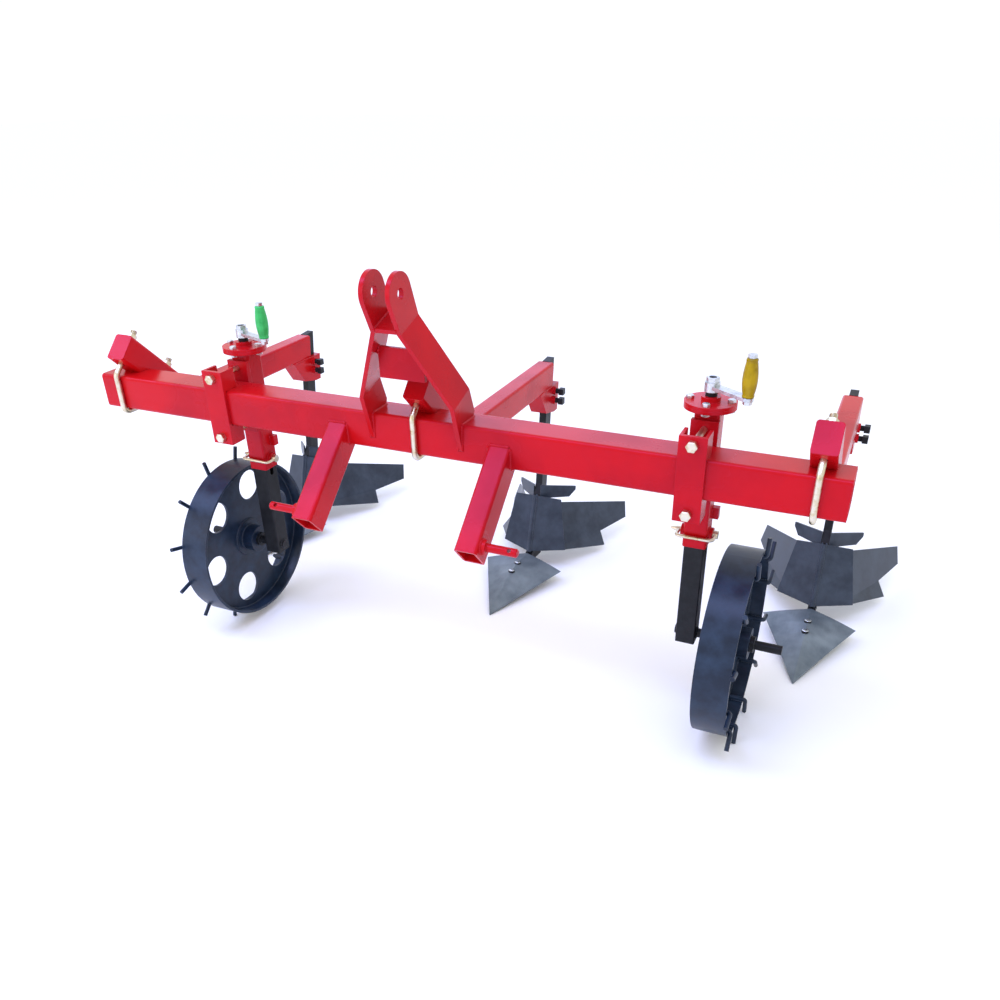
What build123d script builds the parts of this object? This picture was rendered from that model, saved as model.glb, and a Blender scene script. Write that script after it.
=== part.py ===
from build123d import *
import os
from math import cos, radians, sin, sqrt

# A three-row ridging toolbar for a tractor's three-point hitch, in millimetres.
# X runs to the right, Y rearward and Z up. The origin is on the floor, at the middle of the part's box.

# Fits
gap = 0.3               # between faces that slide past each other
bore_clear = 0.1        # a bolt hole's radius over the bolt's
running_clear = 0.05    # a wheel bore's radius over the axle's

# Toolbar: a square tube with plates let into its ends
bar_size = 100.0
bar_wall = 6.0
bar_corner = 10.0
bar_length = 2126.0
cap_thick = 6.0
cap_recess = 2.0

# Mast: two plates, parallel at the top-link eye, splayed out to feet on the toolbar
mast_plate = 12.0
ear_inner = 29.0        # half the gap between the ears
foot_inner = 123.0
eye_forward = 88.0      # eye centre ahead of the toolbar's front face
eye_height = 331.0      # eye centre above the toolbar's top face
eye_radius = 13.0
ear_radius = 49.0
fold_length = 92.0
fold_rise = 18.5        # degrees that both folds climb to the rear
upper_fold = (-100.0, 240.0)    # front end of the upper fold, from the toolbar's top front edge
lower_fold = (-35.0, 50.0)      # front end of the lower fold, from the same edge
foot_length = 70.0      # along the toolbar's top face
foot_heel = 14.0        # height of the foot's square rear edge
fin_drop = 70.0         # pointed fin down the toolbar's front face
spacer_thick = 10.0
cross_half_width = 62.5
cross_setback = 58.0    # cross plate behind the upper fold's front end
cross_thick = 10.0
cross_top = 191.0       # above the toolbar's top face
cross_height = 78.0

# Hitch arms: rectangular tubes sloping down and forward, with the lower-link pins
hitch_x = 237.0
hitch_width = 60.0
hitch_depth = 78.0
hitch_wall = 6.0
hitch_corner = 9.0
hitch_slope = 42.0
hitch_pin_forward = 171.0   # pin ahead of the toolbar's front face
hitch_pin_drop = 131.0      # pin below the toolbar's underside
pin_from_end = 30.0
pin_off_middle = 11.0
hitch_pin_radius = 11.0
hitch_pin_reach = 80.0      # clear length outside the collar
hitch_collar_radius = 19.0
hitch_collar = 12.0
hitch_pin_chamfer = 3.0
linch_radius = 5.5
linch_from_tip = 20.0

# Row units: a mitred rectangular tube that saddles the toolbar's top rear corner
row_spacing = 994.0
arm_width = 60.0
arm_depth = 80.0
arm_wall = 5.0
arm_corner = 8.0
notch_depth = 35.0      # how far the toolbar's corner enters the saddle
saddle_front = 37.0     # saddle's square end ahead of the toolbar's diagonal corner
arm_below_bar = 3.0     # top of the arm below the toolbar's underside
tool_rear = 812.0       # shank's middle behind the toolbar's rear face
tool_lean = 8.0

# V-bolt round the toolbar's front lower corner
rod_radius = 8.0
rod_bend = 18.0
rod_gap = 0.5
rod_corner_gap = 1.3
rod_hole_clear = 1.0
nut_across = 24.0
nut_height = 13.0
washer_radius = 15.0
washer_thick = 3.0
stud_past_nut = 13.0

# Shank holder under the arm's end, with two square-headed set bolts in its right side
holder_inset = 1.5
holder_ahead = 105.0
holder_slant = 53.0
holder_drop = 95.0
holder_wall = 16.0
boss_radius = 14.0
boss_height = 8.0
set_bolt_radius = 8.0
set_bolt_reach = 48.0
set_head = 21.0
set_head_height = 17.0
set_low = 52.0
set_high = 20.0

# Shank and frog, in the tool's own frame: y rearward, z up the shank, origin at the holder
shank_width = 25.0
shank_depth = 45.0
shank_above_arm = 8.0
shank_bevel = 10.0
frog_gap = 1.0

# Breast: two plates meeting at a ridge, a round nose bar along it, and two stays
ridge_top = (0.0, -55.0, -363.0)
ridge_foot = (0.0, -90.0, -566.0)
breast_top = (87.0, -18.0, -376.0)
breast_foot = (120.0, -35.0, -557.0)
plate_thick = 6.0
nose_radius = 5.0
stay_sweep = 49.0
stay_root = (27.0, -22.0)
stay_reach = 124.0
stay_top = -326.0
stay_tip = (-344.0, -357.0)
stay_low = -382.0

# Wings: swept plates that lean inward at the top, with a flared lower strip
wing_origin = (184.0, 177.0, -536.0)
wing_sweep = 67.2
wing_lean = 18.9
wing_inner = -212.0
wing_outline_top = (167.0, 83.0)
wing_outline_low = (154.0, 23.0)
wing_inner_top = 150.0
wing_inner_low = -8.0
wing_toe = (211.0, 154.0, -580.0)
flap_taper = 0.33       # lower strip's height at its inner end over that at its toe
fold_lap = 0.1          # share of the lower strip's height that laps behind the fold
strap_height = -500.0
strap_depth = 16.0

# Share: a convex pointed blade bent along its crest, held by two plough bolts
share_tip = (-415.0, -676.0)
share_corner = (142.0, -130.0, -602.0)
share_apex = (-100.0, -570.0)
share_bolt_rear = (-189.0, -575.0)
share_bolt_front = (-242.0, -587.0)
share_thick = 10.0
share_tip_half = 2.0
share_undercut = 0.92   # width of the underside over the width of the top
share_trim = 3.0        # blank behind the apex, cut back to the rear edge
share_bolt_radius = 6.0
share_head_radius = 11.0
share_head_sink = 5.0
share_head_proud = 1.5
share_nut_across = 19.0
share_nut_height = 10.0
nose_depth = 16.0

# Gauge wheel columns: a clamped square tube, a sliding leg and a crank screw
column_left_x = -632.0
column_right_x = 717.0
clamp_width = 66.0
clamp_height = 211.0
clamp_web = 10.0
clamp_flange = 8.0
clamp_flange_depth = 45.0
clamp_rear = 15.0
clamp_bolt_height = 85.0
clamp_bolt_radius = 8.0
clamp_bolt_short = 1.0
jack_size = 60.0
jack_wall = 4.0
jack_corner = 6.0
jack_top = 125.0
jack_foot = -235.0
flange_radius = 62.0
flange_thick = 8.0
cap_boss_radius = 23.0
cap_boss_height = 11.0
cap_bolt_circle = 49.0
cap_bolt_radius = 5.0
cap_bolt_across = 17.0
cap_bolt_head = 7.0
lock_height = -203.0
lock_radius = 7.0
lock_boss_radius = 17.0
lock_boss = 10.0
lock_head_radius = 11.0
lock_head = 12.0
lock_tip = 16.0
lock_taper = 15.0
bail_radius = 4.5
bail_stand_off = 3.5
bail_bend = 11.0
lug_size = (16.0, 18.0, 30.0)
lug_height = -165.0

# Leg and axle
leg_wall = 5.0
leg_corner = 3.0
leg_top = 60.0
leg_nut = 25.0
leg_end = 6.0
leg_below_axle = 24.0
leg_up = 50.0           # travel that raises the wheel
leg_down = 130.0        # travel that lowers it
slot_clear = 1.0
axle_height = -502.0
axle_radius = 12.5
axle_inner = 32.0
axle_outer = 250.0
collar_radius = 22.0
collar_width = 11.0
collar_gap = 0.5

# Screw, crank and grip
screw_radius = 11.0
screw_foot = -110.0
screw_collar_radius = 18.0
screw_collar = 12.0
screw_neck_radius = 14.0
screw_neck = 11.0
screw_end_radius = 9.0
crank_radius = 112.0
crank_left_angle = -19.0
crank_right_angle = -34.0
crank_boss_radius = 18.0
crank_boss = 22.0
crank_arm_width = 26.0
crank_arm_thick = 8.0
crank_nut_across = 27.0
crank_nut = 11.0
grip_bolt_radius = 6.0
grip_bolt_across = 18.0
grip_bolt_head = 8.0
grip_length = 88.0
grip_end_radius = 12.0
grip_belly_radius = 17.5
grip_neck_radius = 14.0
grip_lip = 5.0          # height of the sloped band at each end
grip_belly_height = 34.0
grip_gap = 0.5

# Wheels: a rolled rim on a pierced disc, with twelve bent pegs on the outboard edge
wheel_offset = 118.0    # wheel's middle outboard of the leg's
rim_radius = 251.0
rim_wall = 8.0
rim_width = 90.0
disc_thick = 8.0
window_radius = 48.0
window_circle = 172.0
window_count = 6
hub_radius = 42.0
hub_length = 100.0
hub_flange_radius = 59.0
hub_flange = 22.0
peg_count = 12
peg_radius = 6.0
peg_tip = 288.0
peg_tail = 46.0
peg_bend = 7.5

# Derived places, measured from the toolbar's middle
half = bar_size / 2
root = sqrt(2.0)
bar_bore = bar_size - 2 * bar_wall
bore_corner = bar_corner - bar_wall
lean_sin = sin(radians(tool_lean))
lean_cos = cos(radians(tool_lean))
half_peg_step = radians(180 / peg_count)
floor_z = axle_height - peg_tip * cos(half_peg_step) - peg_radius * sin(half_peg_step)
tool_y = half + tool_rear
tip_low = share_tip[1] - share_tip_half - share_thick
tool_z = floor_z + share_tip[0] * lean_sin - tip_low * lean_cos
hitch_cos = cos(radians(hitch_slope))
hitch_sin = sin(radians(hitch_slope))
hitch_pin_y = -half - hitch_pin_forward
hitch_pin_z = -half - hitch_pin_drop
front_y = hitch_pin_y - pin_from_end * hitch_cos - (hitch_depth / 2 - pin_off_middle) * hitch_sin
wing_sin = sin(radians(wing_sweep))
wing_cos = cos(radians(wing_sweep))
wing_out = sin(radians(wing_lean))
wing_up = cos(radians(wing_lean))
wing_along = (wing_cos, wing_sin, 0.0)
wing_normal = (wing_sin * wing_up, -wing_cos * wing_up, wing_out)
wing_rise = (-wing_sin * wing_out, wing_cos * wing_out, wing_up)
tip_y = (wing_origin[1] + wing_outline_top[0] * wing_sin + wing_outline_top[1] * wing_rise[1]
         - plate_thick * wing_normal[1])
tip_z = wing_origin[2] + wing_outline_top[1] * wing_up - plate_thick * wing_normal[2]
rear_y = tool_y + tip_y * lean_cos + tip_z * lean_sin

# The toolbar's middle in the part's frame
bar_y = -(front_y + rear_y) / 2
bar_z = -floor_z


def side(x):
    """Plane across the toolbar at x: sketch x runs rearward and sketch y up from the toolbar's middle."""
    return Plane(origin=(x, bar_y, bar_z), x_dir=(0, 1, 0), z_dir=(1, 0, 0))


def level(x, y, z):
    """Plane level with the floor: sketch x runs to the right and sketch y rearward."""
    return Plane(origin=(x, bar_y + y, bar_z + z), x_dir=(1, 0, 0), z_dir=(0, 0, 1))


def facing(x, y, z):
    """Upright plane facing forward: sketch x runs to the right and sketch y up."""
    return Plane(origin=(x, bar_y + y, bar_z + z), x_dir=(1, 0, 0), z_dir=(0, -1, 0))


def along_x(x, y, z):
    """Plane square to X at a place measured from the toolbar's middle."""
    return Plane(origin=(x, bar_y + y, bar_z + z), x_dir=(0, 1, 0), z_dir=(1, 0, 0))


def in_tool(row_x, origin=(0, 0, 0), x_dir=(1, 0, 0), z_dir=(0, 0, 1)):
    """Plane given in a tool's own frame, which leans so that its foot points forward."""
    seat = Plane(origin=(row_x, bar_y + tool_y, bar_z + tool_z), x_dir=(1, 0, 0),
                 z_dir=(0, lean_sin, lean_cos))
    return Plane(seat.location * Plane(origin=origin, x_dir=x_dir, z_dir=z_dir).location)


def tool_side(row_x, x):
    """Plane across a tool at x: sketch x runs rearward and sketch y up the shank."""
    return in_tool(row_x, (x, 0, 0), (0, 1, 0), (1, 0, 0))


def outline(*points):
    """Closed straight-sided profile in the open sketch."""
    Polygon(*points, align=None)


def plate(row_x, corners, thick):
    """Flat plate in the open part: its face runs through corners given in the tool's frame."""
    tool = in_tool(row_x)
    placed = [tool.from_local_coords(Vector(*corner)) for corner in corners]
    run = placed[1] - placed[0]
    face = Plane(origin=placed[0], x_dir=run, z_dir=run.cross(placed[2] - placed[0]))
    flat = [face.to_local_coords(corner) for corner in placed]
    with BuildSketch(face) as front:
        outline(*[(corner.X, corner.Y) for corner in flat])
    extrude(front.sketch, amount=-thick)


def rod(plane, radius, length):
    """Round bar in the open part, standing on a plane."""
    with BuildSketch(plane) as end:
        Circle(radius)
    extrude(end.sketch, amount=length)


def drill(plane, radius, length):
    """Round hole in the open part, along the plane's normal."""
    with BuildSketch(plane) as mouth:
        Circle(radius)
    extrude(mouth.sketch, amount=length, mode=Mode.SUBTRACT)


def hexagon(plane, across, height, bore=0.0):
    """Hexagon nut or bolt head in the open part."""
    with BuildSketch(plane) as flats:
        RegularPolygon(across / 2, 6, major_radius=False)
        if bore:
            Circle(bore, mode=Mode.SUBTRACT)
    extrude(flats.sketch, amount=height)


def save(piece, name):
    """Label a finished piece and write it as its own file."""
    piece.part.label = name
    export_step(piece.part, f"parts/{name}.step")


os.makedirs("parts", exist_ok=True)

# Toolbar
with BuildPart() as toolbar:
    with BuildSketch(side(-bar_length / 2)):
        RectangleRounded(bar_size, bar_size, bar_corner)
        RectangleRounded(bar_bore, bar_bore, bore_corner, mode=Mode.SUBTRACT)
    extrude(amount=bar_length)
save(toolbar, "toolbar")

with BuildPart() as toolbar_caps:
    for end_x in (-bar_length / 2 + cap_recess, bar_length / 2 - cap_recess - cap_thick):
        with BuildSketch(side(end_x)):
            RectangleRounded(bar_bore, bar_bore, bore_corner)
        extrude(amount=cap_thick)
save(toolbar_caps, "toolbar_caps")

# Mast plates: ear, splayed leg between two parallel folds, and foot
fold_run = (fold_length * cos(radians(fold_rise)), fold_length * sin(radians(fold_rise)))
fold_down = (sin(radians(fold_rise)), -cos(radians(fold_rise)))
eye = (-half - eye_forward, half + eye_height)
upper_front = (-half + upper_fold[0], half + upper_fold[1])
upper_rear = (upper_front[0] + fold_run[0], upper_front[1] + fold_run[1])
lower_front = (-half + lower_fold[0], half + lower_fold[1])
lower_rear = (lower_front[0] + fold_run[0], lower_front[1] + fold_run[1])
fold_apart = ((lower_front[0] - upper_front[0]) * fold_down[0]
              + (lower_front[1] - upper_front[1]) * fold_down[1])


def fold_plane(x, front):
    """Plane through a fold at x, square to the leg's side view."""
    middle = (x, bar_y + front[0] + fold_run[0] / 2, bar_z + front[1] + fold_run[1] / 2)
    return Plane(origin=middle, x_dir=(1, 0, 0), z_dir=(0, fold_down[0], fold_down[1]))


def leg_inner_x(y, z):
    """Inner face of a splayed leg, at a place in its side view."""
    below = (y - upper_front[0]) * fold_down[0] + (z - upper_front[1]) * fold_down[1]
    return ear_inner + (foot_inner - ear_inner) * below / fold_apart


for hand, sign in (("left", -1), ("right", 1)):
    with BuildPart() as mast_plate_piece:
        with BuildSketch(side(sign * ear_inner)):
            with BuildLine():
                Line(upper_front, upper_rear)
                CenterArc(eye, ear_radius, 0, 360)
            make_hull()
            with Locations(eye):
                Circle(eye_radius, mode=Mode.SUBTRACT)
        extrude(amount=sign * mast_plate)
        with BuildSketch(fold_plane(sign * (ear_inner + mast_plate / 2), upper_front)):
            Rectangle(mast_plate, fold_length)
        with BuildSketch(fold_plane(sign * (foot_inner + mast_plate / 2), lower_front)):
            Rectangle(mast_plate, fold_length)
        loft(ruled=True)
        with BuildSketch(side(sign * foot_inner)):
            outline(lower_front, lower_rear, (-half + foot_length + foot_heel / 2, half + foot_heel),
                    (-half + foot_length, half), (-half, half), (-half, half - fin_drop))
        extrude(amount=sign * mast_plate)
    save(mast_plate_piece, f"mast_plate_{hand}")

with BuildPart() as mast_spacer:
    with BuildSketch(fold_plane(0, upper_front)):
        Rectangle(2 * ear_inner, fold_length)
    extrude(amount=-spacer_thick)
save(mast_spacer, "mast_spacer")

cross_y = upper_front[0] + cross_setback
cross_z = half + cross_top
shoulder_z = cross_z - (cross_half_width - leg_inner_x(cross_y, cross_z)) * fold_apart / (
    -fold_down[1] * (foot_inner - ear_inner))
top_half = leg_inner_x(cross_y, cross_z)
with BuildPart() as mast_cross_plate:
    with BuildSketch(facing(0, cross_y, 0)):
        outline((-cross_half_width, cross_z - cross_height), (cross_half_width, cross_z - cross_height),
                (cross_half_width, shoulder_z), (top_half, cross_z), (-top_half, cross_z),
                (-cross_half_width, shoulder_z))
    extrude(amount=-cross_thick)
save(mast_cross_plate, "mast_cross_plate")

# Hitch arms, cut to wrap the toolbar's lower front corner, and their pins
end_top = (front_y, hitch_pin_z - pin_from_end * hitch_sin + (hitch_depth / 2 - pin_off_middle) * hitch_cos)
end_low = (end_top[0] + hitch_depth * hitch_sin, end_top[1] - hitch_depth * hitch_cos)
end_middle = ((end_top[0] + end_low[0]) / 2, (end_top[1] + end_low[1]) / 2)
hitch_blank = 2 * (hitch_pin_forward + hitch_pin_drop)

for hand, sign in (("left", -1), ("right", 1)):
    with BuildPart() as hitch_arm:
        mouth = Plane(origin=(sign * hitch_x, bar_y + end_middle[0], bar_z + end_middle[1]),
                      x_dir=(1, 0, 0), z_dir=(0, hitch_cos, hitch_sin))
        with BuildSketch(mouth):
            RectangleRounded(hitch_width, hitch_depth, hitch_corner)
            RectangleRounded(hitch_width - 2 * hitch_wall, hitch_depth - 2 * hitch_wall,
                             hitch_corner - hitch_wall, mode=Mode.SUBTRACT)
        extrude(amount=hitch_blank)
        with BuildSketch(side(sign * hitch_x)):
            outline((-half, -half), (hitch_blank, -half), (hitch_blank, hitch_blank), (-half, hitch_blank))
        extrude(amount=hitch_width, both=True, mode=Mode.SUBTRACT)
        drill(along_x(sign * hitch_x - hitch_width, hitch_pin_y, hitch_pin_z), hitch_pin_radius + bore_clear,
              2 * hitch_width)
    save(hitch_arm, f"hitch_arm_{hand}")

collar_x = hitch_x + hitch_width / 2
pin_tip_x = collar_x + hitch_collar + hitch_pin_reach
with BuildPart() as hitch_pins:
    for sign in (-1, 1):
        rod(along_x(sign * (hitch_x - hitch_width / 2), hitch_pin_y, hitch_pin_z), hitch_pin_radius,
            sign * (pin_tip_x - hitch_x + hitch_width / 2))
        rod(along_x(sign * collar_x, hitch_pin_y, hitch_pin_z), hitch_collar_radius, sign * hitch_collar)
        linch = Plane(origin=(sign * (pin_tip_x - linch_from_tip), bar_y + hitch_pin_y, bar_z + hitch_pin_z),
                      x_dir=(1, 0, 0), z_dir=(0, -hitch_sin, hitch_cos))
        with BuildSketch(linch):
            Circle(linch_radius)
        extrude(amount=2 * hitch_pin_radius, both=True, mode=Mode.SUBTRACT)
    chamfer(hitch_pins.edges().filter_by(GeomType.CIRCLE).group_by(Axis.X)[0], hitch_pin_chamfer)
    chamfer(hitch_pins.edges().filter_by(GeomType.CIRCLE).group_by(Axis.X)[-1], hitch_pin_chamfer)
save(hitch_pins, "hitch_pins")

# Row units: places that every unit shares
saddle_low = half * root - notch_depth
saddle_top = saddle_low + arm_depth
saddle_end = -(half * root + saddle_front)
arm_top = -half - arm_below_bar
arm_low = arm_top - arm_depth
rod_off = half * root + rod_radius + rod_corner_gap
seat_front = -shank_depth / 2 - gap


def across(n, d):
    """Side-view point from n, along the toolbar's diagonal through the saddle, and d, square to it."""
    return ((n + d) / root, (n - d) / root)


def on_lean(y, z):
    """Side-view point at height z on a line of the shank, y behind the shank's middle."""
    return (tool_y + y * lean_cos + (z - tool_z + y * lean_sin) * lean_sin / lean_cos, z)


def arm_tube(plane, length):
    """Rectangular tube with rounded corners, standing on a plane."""
    with BuildSketch(plane) as section:
        RectangleRounded(arm_width, arm_depth, arm_corner)
        RectangleRounded(arm_width - 2 * arm_wall, arm_depth - 2 * arm_wall, arm_corner - arm_wall,
                         mode=Mode.SUBTRACT)
    extrude(section.sketch, amount=length)


def diagonal(row_x, n, d):
    """Plane square to the V-bolt's legs, facing up and rearward."""
    place = across(n, d)
    return Plane(origin=(row_x, bar_y + place[0], bar_z + place[1]), x_dir=(1, 0, 0), z_dir=(0, 1, 1))


# Crest of the share, from its rear apex to its tip, and its edge from corner to tip
share_length = share_corner[1] - share_tip[0]
crest = (share_apex, share_bolt_rear, share_bolt_front, share_tip)
edge_tip = share_tip[1] - share_tip_half


def share_section(y):
    """Half width, crest height and edge height of the share at y."""
    share = (y - share_tip[0]) / share_length
    rear, front = next(pair for pair in zip(crest, crest[1:]) if y >= pair[1][0])
    steep = (front[1] - rear[1]) / (front[0] - rear[0])
    edge = edge_tip + share * (share_corner[2] - edge_tip)
    return share_corner[0] * share + share_tip_half, rear[1] + (y - rear[0]) * steep, edge


def under_share(y):
    """Height of the frog's nose under the share at y."""
    wide, high, edge = share_section(y)
    return high - share_thick - frog_gap - (high - edge) * shank_width / 2 / wide


ridge_steep = (breast_foot[1] - ridge_foot[1]) / (breast_foot[0] - ridge_foot[0])
frog_behind = shank_width / 2 * ridge_steep + plate_thick * sqrt(1 + ridge_steep ** 2) + 2 * frog_gap
shank_top = (arm_top + shank_above_arm - tool_z) / lean_cos
nose_tip = share_bolt_front[0] - 2 * share_head_radius
share_bolts_at = (share_bolt_rear, share_bolt_front)


def build_unit(hand, row_x):
    """Clamped arm with its V-bolt, shank holder and set bolts."""
    saddle_tip = diagonal(row_x, (saddle_low + saddle_top) / 2, saddle_end)
    mitre_top = (root * saddle_top - arm_top, arm_top)
    mitre_low = (root * saddle_low - arm_low, arm_low)
    mitre = Plane(origin=(row_x, bar_y + mitre_low[0], bar_z + mitre_low[1]), x_dir=(1, 0, 0),
                  z_dir=(0, mitre_top[1] - mitre_low[1], mitre_low[0] - mitre_top[0]))
    with BuildPart() as saddle_tube:
        tip = Plane(origin=saddle_tip.origin, x_dir=(1, 0, 0), z_dir=(0, 1, -1))
        arm_tube(tip, tool_rear)
        with BuildSketch(tip):
            RectangleRounded(arm_width, arm_depth, arm_corner)
        extrude(amount=arm_wall)
        split(bisect_by=mitre, keep=Keep.BOTTOM)

    with BuildPart() as beam_tube:
        beam_end = Plane(origin=(row_x, bar_y, bar_z + (arm_top + arm_low) / 2), x_dir=(1, 0, 0),
                         z_dir=(0, 1, 0))
        arm_tube(beam_end, tool_y)
        split(bisect_by=mitre, keep=Keep.TOP)
        split(bisect_by=in_tool(row_x, (0, seat_front, 0), (1, 0, 0), (0, 1, 0)), keep=Keep.BOTTOM)

    with BuildPart() as arm:
        add(saddle_tube.part)
        add(beam_tube.part)
        with BuildSketch(side(row_x)):
            RectangleRounded(bar_size + 2 * gap, bar_size + 2 * gap, bar_corner)
        extrude(amount=arm_width, both=True, mode=Mode.SUBTRACT)
        for d in (-rod_off, rod_off):
            drill(diagonal(row_x, 0, d), rod_radius + rod_hole_clear, 2 * saddle_top)
    save(arm, f"arm_{hand}")

    stud_end = saddle_top + washer_thick + nut_height + stud_past_nut
    rod_line = -(half + rod_gap + rod_radius)
    bend = rod_line + root * rod_off
    with BuildPart() as v_bolt:
        with BuildLine(side(row_x)) as route:
            FilletPolyline(across(stud_end, -rod_off), (rod_line, bend), (rod_line, rod_line),
                           (bend, rod_line), across(stud_end, rod_off), radius=rod_bend)
        with BuildSketch(Plane(origin=route.line @ 0, z_dir=route.line % 0)):
            Circle(rod_radius)
        sweep()
        for d in (-rod_off, rod_off):
            with BuildSketch(diagonal(row_x, saddle_top, d)):
                Circle(washer_radius)
                Circle(rod_radius + bore_clear, mode=Mode.SUBTRACT)
            extrude(amount=washer_thick)
            hexagon(diagonal(row_x, saddle_top + washer_thick, d), nut_across, nut_height,
                    rod_radius + bore_clear)
    save(v_bolt, f"v_bolt_{hand}")

    holder_half = arm_width / 2 - holder_inset
    front_top = (on_lean(seat_front, arm_low)[0] - holder_ahead, arm_low)
    rear_top = on_lean(shank_depth / 2 + holder_wall, arm_low)
    rear_low = on_lean(shank_depth / 2 + holder_wall, arm_low - holder_drop)
    slant_low = (front_top[0] + holder_slant, arm_low - holder_drop + holder_wall)
    bolt_heights = (arm_low - set_low, arm_low - set_high)
    with BuildPart() as holder:
        with BuildSketch(side(row_x)):
            outline(front_top, slant_low, (on_lean(seat_front, 0)[0], arm_low - holder_drop), rear_low,
                    rear_top)
        extrude(amount=holder_half, both=True)
        for z in bolt_heights:
            rod(along_x(row_x + holder_half, on_lean(0, z)[0], z), boss_radius, boss_height)
        with BuildSketch(in_tool(row_x)):
            Rectangle(shank_width + 2 * gap, shank_depth + 2 * gap)
        extrude(amount=tool_rear, both=True, mode=Mode.SUBTRACT)
        for z in bolt_heights:
            drill(along_x(row_x, on_lean(0, z)[0], z), set_bolt_radius + bore_clear, arm_width)
    save(holder, f"holder_{hand}")

    with BuildPart() as set_bolts:
        for z in bolt_heights:
            y = on_lean(0, z)[0]
            bolt_tip = shank_width / 2 + gap
            rod(along_x(row_x + bolt_tip, y, z), set_bolt_radius, set_bolt_reach - bolt_tip)
            with BuildSketch(along_x(row_x + set_bolt_reach, y, z)):
                Rectangle(set_head, set_head)
            extrude(amount=set_head_height)
    save(set_bolts, f"set_bolts_{hand}")


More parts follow.
